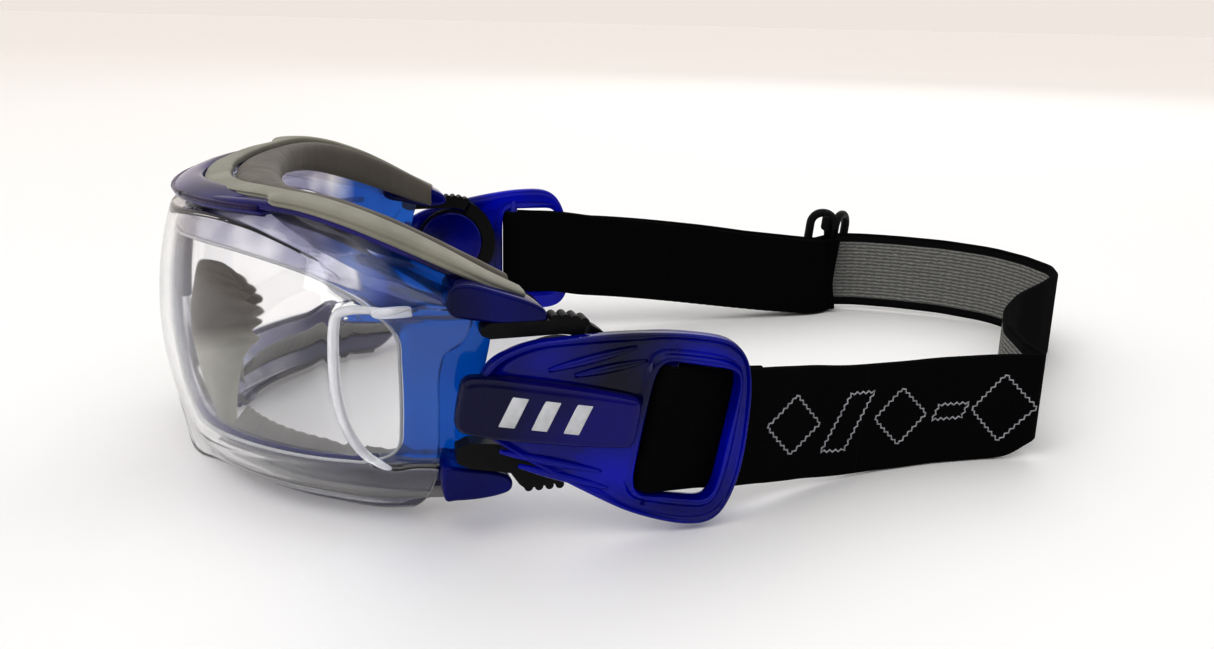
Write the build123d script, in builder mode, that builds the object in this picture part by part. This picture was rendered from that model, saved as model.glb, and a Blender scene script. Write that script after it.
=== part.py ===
"""Wrap-around safety goggles with a quick-release elastic headband, in millimetres.

+X is the wearer's left, +Y runs from the lens to the back of the head and +Z is up.
Everything is drawn with the lens's front just ahead of y = 0 and standing on z = 0.
save_all() then moves it once, so that the origin lies under the middle of the whole object.
"""

import os
from math import cos, radians, sin

from build123d import *

# Head: the lens, frame and pads are all wrapped round this upright axis, and are a little
# wider than they are deep.
HEAD_Y = 60.0
HEAD_WIDEN = 68.0 / 65.0
REACH = 100.0

# Lens: radius about the head axis at each height, before widening.
LENS_TOP_Z = 58.0
LENS_CAP_Z = 58.3
LENS_TOP_CREASE_Z = 54.0
LENS_MIDDLE_Z = 31.0
LENS_LOW_CREASE_Z = 12.0
LENS_RADIUS = 65.0
LENS_TOP_CREASE_RADIUS = 61.4
LENS_LOW_CREASE_RADIUS = 62.6
LENS_TOP_RADIUS = 57.6
LENS_LOW_RADIUS = 53.0
LENS_WALL = 2.0
LIP_DROP = 0.35
SEAL_THICK = 0.4
FRAME_WALL = 2.2
FRAME_CAP_Z = 62.0

# Brow trim and brow pad: half widths and depths of their plan rings.
TRIM_OUTER = (67.0, 60.4)
TRIM_INNER = (61.6, 54.6)
PAD_INNER = (54.6, 46.8)
PAD_GAP = 0.1
CREST_RADII = (57.8, 60.4)
CREST_REAR_Y = 13.0
CREST_TOP_Z = 62.2

# Nose notch, cheek gasket and nose pad.
NOTCH_TOP_Z = 26.0
NOTCH_FOOT_X = 14.0
BRIDGE_HALF_WIDTH = 4.5
CHEEK_OUTER = (55.0, 52.6)
CHEEK_INNER = (51.0, 48.6)
CHEEK_LOW_Z = 6.0
CHEEK_TOP_Z = 13.0
CHEEK_REAR_Y = 54.0
CHEEK_FRONT_X = 19.8
NOSE_REAR_Y = 18.0

# Hub, which carries each strap clip.
HUB_Y = 69.5
HUB_Z = 29.5
HUB_RADIUS = 9.2
BARREL_RADIUS = 4.8
BARREL_GAP = 0.05
PIN_RADIUS = 2.6
PIN_HEAD_RADIUS = 3.6
RING_INNER = 9.6
RING_OUTER = 13.4
RING_HALF_ANGLE = 62.0
LATCH_INNER = 10.6
LATCH_ANGLE = 66.0

# Planes across the width, from the middle of the goggles outwards.
DISC_X = (65.6, 67.6)
YOKE_X = (66.6, 70.4)
WEB_X = (67.8, 69.2)
UPPER_TAB_X = (62.2, 70.2)
LOWER_TAB_X = (58.5, 70.2)
PLATE_X = (71.0, 73.4)
RIM_TOP_X = 74.6
TONGUE_X = (73.5, 77.0)

# Clip window, strap bar and how far the left clip hangs down as it lies on a table.
WINDOW_Y = (86.2, 103.4)
WINDOW_Z = (12.0, 38.5)
WINDOW_CORNER = 1.6
RIM_Y = (84.4, 106.2)
BAR_Y = 89.6
BAR_X = 72.2
BAR_RADIUS = 1.3
LEFT_DROOP = -11.0

# Strap.
STRAP_WIDTH = 25.0
STRAP_THICK = 1.5
STRAP_MIDDLE_Z = 25.2
LOOP_GAP = 0.35
LOOP_OUTER_X = 69.3
LOOP_INNER_X = 67.3
LOOP_END_Y = 107.4
BAND_START_Y = 111.8
FAR_MIDDLE_Z = 24.2
FAR_SLOPE = -6.0
FAR_BEND_Y = 150.0
FAR_MAIN_X = 74.6
FAR_RETURN_X = 67.9
FAR_END_Y = 206.5
RETURN_END_Y = 196.0

# Slider, a three-bar buckle on the doubled side of the strap.
SLIDER_Y = 199.0
SLIDER_PITCH = 6.6
SLIDER_Z = (10.1, 40.9)
SLOT_Z = (11.3, 38.6)
SLIDER_BAR_X = 71.4
SLIDER_OUTER_X = 76.5
SLIDER_BAR_RADIUS = 0.9
TAIL_RADII = (1.05, 2.25)

STRAP_BACK_Y = 249.7
LENS_FRONT_Y = HEAD_Y - LENS_RADIUS
MIDDLE_Y = (LENS_FRONT_Y + STRAP_BACK_Y) / 2

HEAD_AXIS = Axis((0, HEAD_Y, 0), (0, 0, 1))
HUB_AXIS = Axis((0, HUB_Y, HUB_Z), (1, 0, 0))
FAR_AXIS = Axis((0, LOOP_END_Y, FAR_MIDDLE_Z), (1, 0, 0))

LENS_SIDE = [
    (-12, -1), (-12, 60), (8, 60), (25, 59.3), (34, 56.6), (43, 53), (50, 48.8), (54, 45),
    (55, 41.5), (52.6, 37.8), (49.4, 35), (48.4, 31), (48.4, 9), (46.4, 3.5), (42, -1),
]
FRAME_SIDE = [
    (-12, 1), (-12, 58), (5, 58.3), (12, 59.8), (18, 60.5), (26, 59.5), (34, 57), (43, 53.2),
    (50, 49.6), (56, 46.3), (61, 44.4), (59, 38), (57.6, 29.5), (58.4, 20), (58, 12),
    (52, 5), (46, 1),
]
WINDOW_SIDE = [
    (-12, 13.5), (-12, 51), (20, 52), (34, 48.6), (41, 43), (42.6, 38), (42.6, 18),
    (40, 14.6), (34, 13.5),
]
SEAL_SIDE = [
    (-12, 12.2), (-12, 52.3), (20, 53.3), (34, 50.2), (42.2, 44), (44, 38), (44, 18),
    (41, 13.4), (34, 12.2),
]
TRIM_LOW = [(-8, 57), (5, 58.6), (12, 60.1), (18, 60.8), (26, 59.8), (34, 57.3), (43, 53.5),
            (50, 49.9), (56, 46.6), (62, 45.3)]
TRIM_HIGH = [(66, 46.4), (62, 48.3), (56, 51), (50, 54.3), (43, 58), (34, 61.9), (26, 64.3),
             (18, 65.3), (12, 64.8), (5, 63), (-8, 61)]
PAD_SIDE = [
    (0, 55.5), (12, 56.5), (22, 56), (31, 54.4), (42, 50.4), (54, 45.6), (62, 42.8),
    (64, 44), (64, 46.4), (58, 49.6), (50, 53.8), (42, 58), (31, 61.6), (22, 63), (12, 62.6),
    (0, 61),
]
UPPER_TAB = [(55.6, 46), (62, 44.9), (66.2, 44.4), (67.2, 43.8), (67, 43.2), (55.6, 43.2)]
LOWER_TAB = [(48.8, 15.8), (52, 14.8), (60, 12), (61, 10.6), (60, 8.4), (56.5, 7), (48.8, 7.3)]
NOSE_OUTLINE = [
    (-19, 8), (-13.4, 22), (-8, 37), (-4, 41.4), (4, 41.4), (8, 37), (13.4, 22), (19, 8),
    (15, 8), (9.8, 21), (4.6, 33), (2, 35.6), (-2, 35.6), (-4.6, 33), (-9.8, 21), (-15, 8),
]
# The bridge and the two legs of the frame round the nose, seen from the front.
BRIDGE_OUTLINE = [
    (-BRIDGE_HALF_WIDTH, 60), (-BRIDGE_HALF_WIDTH, 38), (-9.4, 29), (-26, 8), (-26, 0), (26, 0),
    (26, 8), (9.4, 29), (BRIDGE_HALF_WIDTH, 38), (BRIDGE_HALF_WIDTH, 60),
]
TONGUE_OUTLINE = [
    (50.4, 23), (50.4, 29.4), (53.4, 31.6), (70, 31.8), (84, 31), (84, 21.4), (70, 20.6),
    (53.4, 21),
]
CLIP_OUTLINE = [
    (53.6, 27), (55, 33.6), (60.9, 37.9), (69, 40.3), (80, 42.8), (92, 44.3), (100.5, 43.6),
    (105, 38.6), (107.3, 28), (107.8, 17), (105.4, 8.9), (99, 6.5), (87, 7.9), (72.8, 11),
    (62, 16), (55.4, 21),
]
LOWER_LATCH = [
    (73.6, 14.8), (71, 11), (63.4, 10.4), (62.2, 11.4), (60.6, 13.8), (53, 15.4), (50.8, 16.6),
    (50.8, 19.4), (53, 20.4), (61, 19.4), (66.2, 18.5),
]

# The strap's route in plan: from behind the left clip, round the back, to the slider.
STRAP_ROUTE = [
    (66.6, BAND_START_Y), (60.4, 126), (56.6, 144), (55.4, 160), (56, 174), (58, 185.4),
    (49, 186.8), (33.5, 193), (21, 201.5), (8, 215), (-3.5, 232), (-12, 243), (-22, 248.6),
    (-34, 248.8), (-46, 245.2), (-58, 234.5), (-67, 221.5), (-73.4, 210), (-FAR_MAIN_X, 204),
]
STRAP_BENDS = [30, 60, 60, 60, 1.8, 1.8, 25, 40, 60, 60, 16, 12, 16, 20, 30, 30, 30]


def face_from(points, plane):
    """A closed straight-sided outline on a plane, kept apart from any open part."""
    with BuildSketch(plane, mode=Mode.PRIVATE) as outline:
        with BuildLine():
            Polyline(*points, close=True)
        make_face()
    return outline.sketch


def across(points, mode, low=-REACH, high=REACH):
    """Extrudes an outline seen from the side (y, z) between two planes across the width."""
    extrude(face_from(points, Plane.YZ.offset(low)), amount=high - low, mode=mode)


def plan_ring(outer, inner, low, high):
    """A wall of oval plan round the head axis, from one height to another."""
    with BuildSketch(Plane.XY.offset(low), mode=Mode.PRIVATE) as ring:
        with Locations((0, HEAD_Y)):
            Ellipse(*outer)
            Ellipse(*inner, mode=Mode.SUBTRACT)
    extrude(ring.sketch, amount=high - low)


def turned_outline(inset, low, high):
    """Half of a section through the head axis, filled out to a surface inside the lens's."""
    with BuildSketch(Plane.XZ.offset(-HEAD_Y), mode=Mode.PRIVATE) as section:
        with BuildLine():
            lip = (LENS_TOP_RADIUS - inset, LENS_TOP_Z - LIP_DROP * inset)
            top_crease = (LENS_TOP_CREASE_RADIUS - inset, LENS_TOP_CREASE_Z)
            low_crease = (LENS_LOW_CREASE_RADIUS - inset, LENS_LOW_CREASE_Z)
            foot = (LENS_LOW_RADIUS - inset, 0)
            ThreePointArc(top_crease, (LENS_RADIUS - inset, LENS_MIDDLE_Z), low_crease)
            Polyline(low_crease, foot, (foot[0], low), (0, low), (0, high), (lip[0], high), lip,
                     top_crease)
        make_face()
    return section.sketch


def wrapped_shell(outside, inside, cap):
    """A shell turned about the head axis between two insets of the lens's outer surface."""
    revolve(turned_outline(outside, -0.5, cap), axis=HEAD_AXIS)
    revolve(turned_outline(inside, -1, cap + 1), axis=HEAD_AXIS, mode=Mode.SUBTRACT)
    scale(by=(HEAD_WIDEN, 1, 1))
    across([(-20, 0), (-20, 80), (140, 80), (140, 0)], Mode.INTERSECT)


def cut_nose_notch():
    """Cuts an arch for the nose up from the lower edge, through the whole front."""
    with BuildSketch(Plane.XZ.offset(-NOSE_REAR_Y), mode=Mode.PRIVATE) as notch:
        with BuildLine():
            Spline((-NOTCH_FOOT_X, -2), (-NOTCH_FOOT_X / 2, 0.72 * NOTCH_TOP_Z), (0, NOTCH_TOP_Z),
                   (NOTCH_FOOT_X / 2, 0.72 * NOTCH_TOP_Z), (NOTCH_FOOT_X, -2))
            Line((NOTCH_FOOT_X, -2), (-NOTCH_FOOT_X, -2))
        make_face()
    extrude(notch.sketch, amount=REACH, mode=Mode.SUBTRACT)


def disc(radius, low, high, mode=Mode.ADD, y=HUB_Y, z=HUB_Z):
    """A round slice across the width, on the hub's axis unless told otherwise."""
    with BuildSketch(Plane.YZ.offset(low), mode=Mode.PRIVATE) as round_face:
        with Locations((y, z)):
            Circle(radius)
    extrude(round_face.sketch, amount=high - low, mode=mode)


def make_lens():
    with BuildPart() as lens:
        wrapped_shell(0, LENS_WALL, LENS_CAP_Z)
        across(LENS_SIDE, Mode.INTERSECT)
        cut_nose_notch()
    return lens.part


def make_lens_seal():
    """A thin rubber ring between the lens and the frame, round the viewing window."""
    with BuildPart() as seal:
        wrapped_shell(LENS_WALL, LENS_WALL + SEAL_THICK, FRAME_CAP_Z)
        across(SEAL_SIDE, Mode.INTERSECT)
        across(WINDOW_SIDE, Mode.SUBTRACT)
    return seal.part


def make_frame():
    depth = LENS_WALL + SEAL_THICK
    with BuildPart() as windows:
        across(WINDOW_SIDE, Mode.ADD)
        extrude(face_from(BRIDGE_OUTLINE, Plane.XZ.offset(-HEAD_Y)), amount=REACH,
                mode=Mode.SUBTRACT)
    with BuildPart() as frame:
        wrapped_shell(depth, depth + FRAME_WALL, FRAME_CAP_Z)
        across(FRAME_SIDE, Mode.INTERSECT)
        add(windows.part, mode=Mode.SUBTRACT)
        cut_nose_notch()
        for side in (1, -1):
            for outline, reach in ((UPPER_TAB, UPPER_TAB_X), (LOWER_TAB, LOWER_TAB_X)):
                across(outline, Mode.ADD, *sorted((side * reach[0], side * reach[1])))
    return frame.part


def make_vent_cover():
    """The clear blue ridge that stands ahead of the grey trim over the bridge."""
    with BuildPart() as crest:
        low, high = CREST_RADII
        plan_ring((high * HEAD_WIDEN, high), (low * HEAD_WIDEN, low), LENS_TOP_Z + 0.4, CREST_TOP_Z)
        across([(-10, 50), (-10, 70), (CREST_REAR_Y, 70), (CREST_REAR_Y, 50)], Mode.INTERSECT)
    return crest.part


def make_brow_trim():
    with BuildPart() as trim:
        plan_ring(TRIM_OUTER, TRIM_INNER, 40, 70)
        across(TRIM_LOW + TRIM_HIGH, Mode.INTERSECT)
        gap = 0.3
        low, high = CREST_RADII
        with BuildSketch(Plane.XY.offset(50), mode=Mode.PRIVATE) as crest_room:
            with Locations((0, HEAD_Y)):
                Ellipse(REACH, REACH)
                Ellipse((low - gap) * HEAD_WIDEN, low - gap, mode=Mode.SUBTRACT)
            with Locations((0, CREST_REAR_Y + gap + REACH)):
                Rectangle(2 * REACH, 2 * REACH, mode=Mode.SUBTRACT)
        extrude(crest_room.sketch, amount=20, mode=Mode.SUBTRACT)
    return trim.part


def make_brow_pad():
    depth = LENS_WALL + SEAL_THICK + FRAME_WALL + PAD_GAP
    with BuildPart() as pad:
        revolve(turned_outline(depth, 30, 70), axis=HEAD_AXIS)
        scale(by=(HEAD_WIDEN, 1, 1))
        with BuildSketch(Plane.XY.offset(20), mode=Mode.PRIVATE) as face_room:
            with Locations((0, HEAD_Y)):
                Ellipse(*PAD_INNER)
        extrude(face_room.sketch, amount=60, mode=Mode.SUBTRACT)
        across(PAD_SIDE, Mode.INTERSECT)
    return pad.part


def make_cheek_gasket(side):
    """The soft lower seal, one length under each eye."""
    with BuildPart() as gasket:
        plan_ring(CHEEK_OUTER, CHEEK_INNER, CHEEK_LOW_Z, CHEEK_TOP_Z)
        across([(0, 0), (0, 20), (CHEEK_REAR_Y, 20), (CHEEK_REAR_Y, 0)], Mode.INTERSECT,
               *sorted((side * CHEEK_FRONT_X, side * REACH)))
    return gasket.part


def make_nose_pad():
    """A soft saddle that straddles the nose, against the inside of the frame's bridge."""
    depth = LENS_WALL + SEAL_THICK + FRAME_WALL + PAD_GAP
    with BuildPart() as pad:
        revolve(turned_outline(depth, -1, 60), axis=HEAD_AXIS)
        scale(by=(HEAD_WIDEN, 1, 1))
        extrude(face_from(NOSE_OUTLINE, Plane.XZ.offset(-NOSE_REAR_Y)), amount=REACH,
                mode=Mode.INTERSECT)
    return pad.part


def hub_arc(inner, outer, start, end, mode=Mode.ADD):
    """A curved bar of the yoke, between two angles about the hub."""
    size = end - start
    with BuildSketch(Plane.YZ.offset(YOKE_X[0]), mode=Mode.PRIVATE) as arc_face:
        with BuildLine() as edge:
            outside = CenterArc((HUB_Y, HUB_Z), outer, start, size)
            inside = CenterArc((HUB_Y, HUB_Z), inner, start, size)
            Line(outside @ 0, inside @ 0)
            Line(outside @ 1, inside @ 1)
        make_face(edge.edges())
    extrude(arc_face.sketch, amount=YOKE_X[1] - YOKE_X[0], mode=mode)


def make_yoke():
    """The curved bearing that the clip's hub turns in, open towards the lens."""
    with BuildPart() as yoke:
        hub_arc(RING_INNER, RING_OUTER, -RING_HALF_ANGLE, RING_HALF_ANGLE)
        disc(RING_INNER + 0.2, *WEB_X)
        disc(BARREL_RADIUS + BARREL_GAP, *WEB_X, mode=Mode.SUBTRACT)
    return yoke.part


def make_upper_latch():
    """The upper arm of the yoke: a prong under the frame's tab and a ribbed finger grip."""
    with BuildPart() as latch:
        hub_arc(LATCH_INNER, RING_OUTER, LATCH_ANGLE, 93)
        across([(69.4, 40.1), (57, 39.9), (55.4, 40.6), (55.4, 42), (57, 42.8), (69.4, 42.8)],
               Mode.ADD, *YOKE_X)
        for angle in range(69, 96, 8):
            turn = radians(angle)
            disc(0.9, *YOKE_X, y=HUB_Y + RING_OUTER * cos(turn), z=HUB_Z + RING_OUTER * sin(turn))
    return latch.part


def make_lower_latch():
    """The lower arm, deeper than the upper one, with its grip on the underside."""
    with BuildPart() as latch:
        hub_arc(LATCH_INNER, RING_OUTER, -93, -LATCH_ANGLE)
        across(LOWER_LATCH, Mode.ADD, *YOKE_X)
        disc(LATCH_INNER, *YOKE_X, mode=Mode.SUBTRACT)
        for step in range(4):
            disc(0.8, *YOKE_X, y=64 + 2 * step, z=10.6)
    return latch.part


def make_clip():
    """The side plate: hub boss, raised rim, strap window and strap bar."""
    with BuildPart() as clip:
        with BuildSketch(Plane.YZ.offset(PLATE_X[0]), mode=Mode.PRIVATE) as plate:
            with BuildLine():
                Spline(*CLIP_OUTLINE, periodic=True)
            make_face()
        window_y = sum(WINDOW_Y) / 2
        window_z = sum(WINDOW_Z) / 2
        window_size = (WINDOW_Y[1] - WINDOW_Y[0], WINDOW_Z[1] - WINDOW_Z[0])
        extrude(plate.sketch, amount=PLATE_X[1] - PLATE_X[0])
        with BuildSketch(Plane.YZ.offset(PLATE_X[1]), mode=Mode.PRIVATE) as rim:
            with Locations((sum(RIM_Y) / 2, window_z)):
                RectangleRounded(RIM_Y[1] - RIM_Y[0], window_size[1] + 6, WINDOW_CORNER + 2)
        extrude(rim.sketch, amount=RIM_TOP_X - PLATE_X[1])
        with BuildSketch(Plane.YZ.offset(PLATE_X[0]), mode=Mode.PRIVATE) as window:
            with Locations((window_y, window_z)):
                RectangleRounded(*window_size, WINDOW_CORNER)
        extrude(window.sketch, amount=10, mode=Mode.SUBTRACT)
        with BuildSketch(Plane.XY.offset(WINDOW_Z[0] - 1), mode=Mode.PRIVATE) as bar:
            with Locations((BAR_X, BAR_Y)):
                Circle(BAR_RADIUS)
        extrude(bar.sketch, amount=window_size[1] + 2)
        disc(HUB_RADIUS, WEB_X[1] + 0.2, PLATE_X[0])
        disc(BARREL_RADIUS, DISC_X[1], WEB_X[1] + 0.2)
        disc(PIN_RADIUS, DISC_X[1] - 1, PLATE_X[1] + 0.1, mode=Mode.SUBTRACT)
    return clip.part


def make_tongue():
    """The dark cover over the hub, which reaches forward across the side of the frame."""
    with BuildPart() as tongue:
        across(TONGUE_OUTLINE, Mode.ADD, *TONGUE_X)
        fillet(tongue.edges().filter_by(Axis.X), radius=1.2)
        fillet(tongue.faces().sort_by(Axis.X)[-1].edges(), radius=0.8)
    return tongue.part


def make_hub_disc():
    """The round keeper on the inside of the yoke."""
    with BuildPart() as keeper:
        disc(HUB_RADIUS, *DISC_X)
        disc(PIN_RADIUS, *DISC_X, mode=Mode.SUBTRACT)
        fillet(keeper.faces().sort_by(Axis.X)[0].outer_wire().edges(), radius=0.5)
    return keeper.part


def make_pivot_pin():
    """The pin that holds the hub disc and the clip together through the yoke."""
    with BuildPart() as pin:
        disc(PIN_HEAD_RADIUS, DISC_X[0] - 0.7, DISC_X[0])
        disc(PIN_RADIUS, DISC_X[0], PLATE_X[1])
    return pin.part


def strap_ribbon(points, bends, low, high):
    """Webbing standing on edge along a route in plan."""
    with BuildSketch(Plane.XY.offset(low), mode=Mode.PRIVATE) as ribbon:
        with BuildLine():
            FilletPolyline(*points, radius=bends)
        trace(line_width=STRAP_THICK)
    extrude(ribbon.sketch, amount=high - low)


def make_strap_loop():
    """The end of the webbing, folded round the clip's strap bar and out under its rear edge."""
    turn = BAR_RADIUS + LOOP_GAP + STRAP_THICK / 2
    outside_x = BAR_X + turn
    inside_x = BAR_X - turn
    window_end = WINDOW_Y[1] - 0.8
    with BuildPart() as loop:
        with BuildSketch(Plane.XY.offset(STRAP_MIDDLE_Z - STRAP_WIDTH / 2)):
            with BuildLine():
                Polyline((LOOP_OUTER_X, LOOP_END_Y), (LOOP_OUTER_X, window_end), (outside_x, BAR_Y))
                ThreePointArc((outside_x, BAR_Y), (BAR_X, BAR_Y - turn), (inside_x, BAR_Y))
                Polyline((inside_x, BAR_Y), (LOOP_INNER_X, window_end), (LOOP_INNER_X, LOOP_END_Y))
            trace(line_width=STRAP_THICK)
        extrude(amount=STRAP_WIDTH)
    return loop.part


def make_strap_band():
    """The main length of webbing, with its far run sloping up to the right clip."""
    low = FAR_MIDDLE_Z - STRAP_WIDTH / 2
    with BuildPart() as far_run:
        strap_ribbon([(-LOOP_OUTER_X, BAND_START_Y), (-FAR_MAIN_X, FAR_BEND_Y),
                      (-FAR_MAIN_X, FAR_END_Y)], [40], low, low + STRAP_WIDTH)
    with BuildPart() as band:
        strap_ribbon(STRAP_ROUTE, STRAP_BENDS, 0, STRAP_WIDTH)
        add(far_run.part.rotate(FAR_AXIS, FAR_SLOPE))
    return band.part


def make_strap_return():
    """The doubled length of webbing that comes back from the right clip to the slider."""
    low = FAR_MIDDLE_Z - STRAP_WIDTH / 2
    with BuildPart() as run:
        strap_ribbon([(-LOOP_INNER_X, BAND_START_Y), (-FAR_RETURN_X, FAR_BEND_Y),
                      (-FAR_RETURN_X, RETURN_END_Y)], [40], low, low + STRAP_WIDTH)
    return run.part.rotate(FAR_AXIS, FAR_SLOPE)


def make_tail_loop():
    """The sewn end of the webbing, wrapped round the slider's middle bar."""
    with BuildPart() as tail:
        with BuildSketch(Plane.XY.offset(FAR_MIDDLE_Z - STRAP_WIDTH / 2)):
            with Locations((-SLIDER_BAR_X, SLIDER_Y)):
                Circle(TAIL_RADII[1])
                Circle(TAIL_RADII[0], mode=Mode.SUBTRACT)
        extrude(amount=STRAP_WIDTH)
    return tail.part.rotate(FAR_AXIS, FAR_SLOPE)


def make_slider():
    """A three-bar buckle, with the middle bar set in towards the head."""
    bars = [(-SLIDER_OUTER_X, SLIDER_Y - SLIDER_PITCH), (-SLIDER_BAR_X, SLIDER_Y),
            (-SLIDER_OUTER_X, SLIDER_Y + SLIDER_PITCH)]
    with BuildPart() as slider:
        for low, high in ((SLIDER_Z[0], SLOT_Z[0]), (SLOT_Z[1], SLIDER_Z[1])):
            with BuildSketch(Plane.XY.offset(low)):
                with BuildLine():
                    Polyline(*bars)
                trace(line_width=2 * SLIDER_BAR_RADIUS)
                with Locations(*bars):
                    Circle(SLIDER_BAR_RADIUS)
            extrude(amount=high - low)
        with BuildSketch(Plane.XY.offset(SLIDER_Z[0])):
            with Locations(*bars):
                Circle(SLIDER_BAR_RADIUS)
        extrude(amount=SLIDER_Z[1] - SLIDER_Z[0])
    return slider.part.rotate(FAR_AXIS, FAR_SLOPE)


def save(name, piece):
    placed = piece.moved(Location((0, -MIDDLE_Y, 0)))
    placed.label = name
    export_step(placed, f"parts/{name}.step")


def save_all():
    os.makedirs("parts", exist_ok=True)
    middle_pieces = {
        "lens": make_lens(),
        "lens_seal": make_lens_seal(),
        "frame": make_frame(),
        "vent_cover": make_vent_cover(),
        "brow_trim": make_brow_trim(),
        "brow_pad": make_brow_pad(),
        "nose_pad": make_nose_pad(),
        "left_cheek_gasket": make_cheek_gasket(1),
        "right_cheek_gasket": make_cheek_gasket(-1),
        "strap_band": make_strap_band(),
        "strap_return": make_strap_return(),
        "strap_tail_loop": make_tail_loop(),
        "slider": make_slider(),
    }
    yoke_pieces = {
        "yoke": make_yoke(),
        "upper_latch": make_upper_latch(),
        "lower_latch": make_lower_latch(),
    }
    clip_pieces = {
        "clip": make_clip(),
        "tongue": make_tongue(),
        "hub_disc": make_hub_disc(),
        "pivot_pin": make_pivot_pin(),
        "strap_loop": make_strap_loop(),
    }
    for name, piece in middle_pieces.items():
        save(name, piece)
    for name, piece in yoke_pieces.items():
        save(f"left_{name}", piece)
        save(f"right_{name}", mirror(piece, about=Plane.YZ))
    for name, piece in clip_pieces.items():
        save(f"left_{name}", piece.rotate(HUB_AXIS, LEFT_DROOP))
        save(f"right_{name}", mirror(piece, about=Plane.YZ))


save_all()
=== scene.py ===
"""Looks of the wrap-around safety goggles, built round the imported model.

Points are drawn in millimetres in the same frame as the part's source: +X is the wearer's left,
the lens's front is at y = -5 and the table is at z = 0. place() turns them into the frame's metres.
"""

from math import atan2, copysign, cos, exp, hypot, pi, radians, sin, sqrt, tan

import bmesh
import bpy
from mathutils import Matrix, Vector


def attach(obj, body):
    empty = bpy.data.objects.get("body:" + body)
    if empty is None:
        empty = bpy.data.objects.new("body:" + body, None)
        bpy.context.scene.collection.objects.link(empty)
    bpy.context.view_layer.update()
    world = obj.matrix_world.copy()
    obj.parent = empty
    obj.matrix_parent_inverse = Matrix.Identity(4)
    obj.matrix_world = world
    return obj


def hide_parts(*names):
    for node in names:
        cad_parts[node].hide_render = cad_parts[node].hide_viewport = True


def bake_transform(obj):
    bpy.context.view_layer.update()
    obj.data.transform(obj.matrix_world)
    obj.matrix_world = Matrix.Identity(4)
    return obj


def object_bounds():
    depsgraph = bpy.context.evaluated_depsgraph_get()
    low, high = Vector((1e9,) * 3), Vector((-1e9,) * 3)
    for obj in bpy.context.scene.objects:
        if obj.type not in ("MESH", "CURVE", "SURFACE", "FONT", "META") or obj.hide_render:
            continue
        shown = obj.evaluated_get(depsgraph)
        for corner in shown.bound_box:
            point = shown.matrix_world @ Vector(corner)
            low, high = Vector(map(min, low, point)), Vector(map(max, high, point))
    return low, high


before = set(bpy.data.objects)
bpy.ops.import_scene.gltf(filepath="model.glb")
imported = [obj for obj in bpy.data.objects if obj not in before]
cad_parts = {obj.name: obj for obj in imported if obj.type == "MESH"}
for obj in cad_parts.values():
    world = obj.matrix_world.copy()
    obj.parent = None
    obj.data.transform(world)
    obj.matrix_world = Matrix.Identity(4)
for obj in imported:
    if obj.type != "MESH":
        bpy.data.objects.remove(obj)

cad_low, cad_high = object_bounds()

FRONT_Y = -5.0
SHIFT_Y = cad_low.y * 1000 - FRONT_Y

# The two sides: the sign of x, and the word for the side.
SIDES = ((1, "left"), (-1, "right"))

# Head axis, and how much wider than deep everything is that wraps round it.
HEAD_Y = 60.0
WIDEN = 68.0 / 65.0

# Hub of each clip, and how far the left clip hangs down at rest.
HUB = Vector((0.0, 69.5, 29.5))
LEFT_DROOP = -11.0

# Webbing, and the distance between the stations along it.
STRAP_WIDTH = 25.0
STRAP_THICK = 1.5
RETURN_THICK = 1.3
STRAP_BORDER = 2.8
STATION_STEP = 0.75


# ------------------------ drawing helpers

def place(point):
    """A drawn point in millimetres as a point of the frame, in metres."""
    return Vector((point[0], point[1] + SHIFT_Y, point[2])) / 1000


def mirrored(point, side):
    """A point drawn for the left side, on the side asked for."""
    return Vector((side * point[0], point[1], point[2]))


def oval(degrees, halves, z):
    """A point on an oval of a half width and half depth, by its angle from the front's middle."""
    angle = radians(degrees)
    return Vector((halves[0] * sin(angle), HEAD_Y - halves[1] * cos(angle), z))


def round_head(degrees, radius, z):
    """A point round the head by its angle, its radius and its height."""
    return oval(degrees, (WIDEN * radius, radius), z)


def smoothstep(low, high, value):
    share = min(1.0, max(0.0, (value - low) / (high - low)))
    return share * share * (3 - 2 * share)


def mix(a, b, share):
    return a + (b - a) * share


def through(points):
    """A smooth function of one number that passes through the given (input, output) points."""
    xs, ys = zip(*points)
    ends = [(max(0, i - 1), min(len(xs) - 1, i + 1)) for i in range(len(xs))]
    slopes = [(ys[high] - ys[low]) / (xs[high] - xs[low]) for low, high in ends]

    def value(x):
        if x <= xs[0]:
            return ys[0]
        if x >= xs[-1]:
            return ys[-1]
        i = max(k for k in range(len(xs) - 1) if xs[k] <= x)
        step = xs[i + 1] - xs[i]
        t = (x - xs[i]) / step
        return ((2 * t**3 - 3 * t**2 + 1) * ys[i] + (t**3 - 2 * t**2 + t) * step * slopes[i]
                + (3 * t**2 - 2 * t**3) * ys[i + 1] + (t**3 - t**2) * step * slopes[i + 1])

    return value


def smooth_line(points, per_span, closed=False):
    """Points on a smooth curve through the given points (vectors), evenly split span by span."""
    points = [Vector(p) for p in points]
    count = len(points)
    spans = count if closed else count - 1
    line = []
    for i in range(spans):
        a, b, c, d = (points[(i + k) % count] for k in (-1, 0, 1, 2))
        if not closed:
            a = a if i else b * 2 - c
            d = d if i + 2 < count else c * 2 - b
        for k in range(per_span):
            t = k / per_span
            line.append(0.5 * (2 * b + (c - a) * t + (2 * a - 5 * b + 4 * c - d) * t**2
                               + (3 * b - a - 3 * c + d) * t**3))
    if not closed:
        line.append(points[-1])
    return line


def side_outline(points, per_span):
    """A smooth closed outline through (depth, height) points in a side view."""
    return smooth_line([(0, y, z) for y, z in points], per_span, closed=True)


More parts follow.
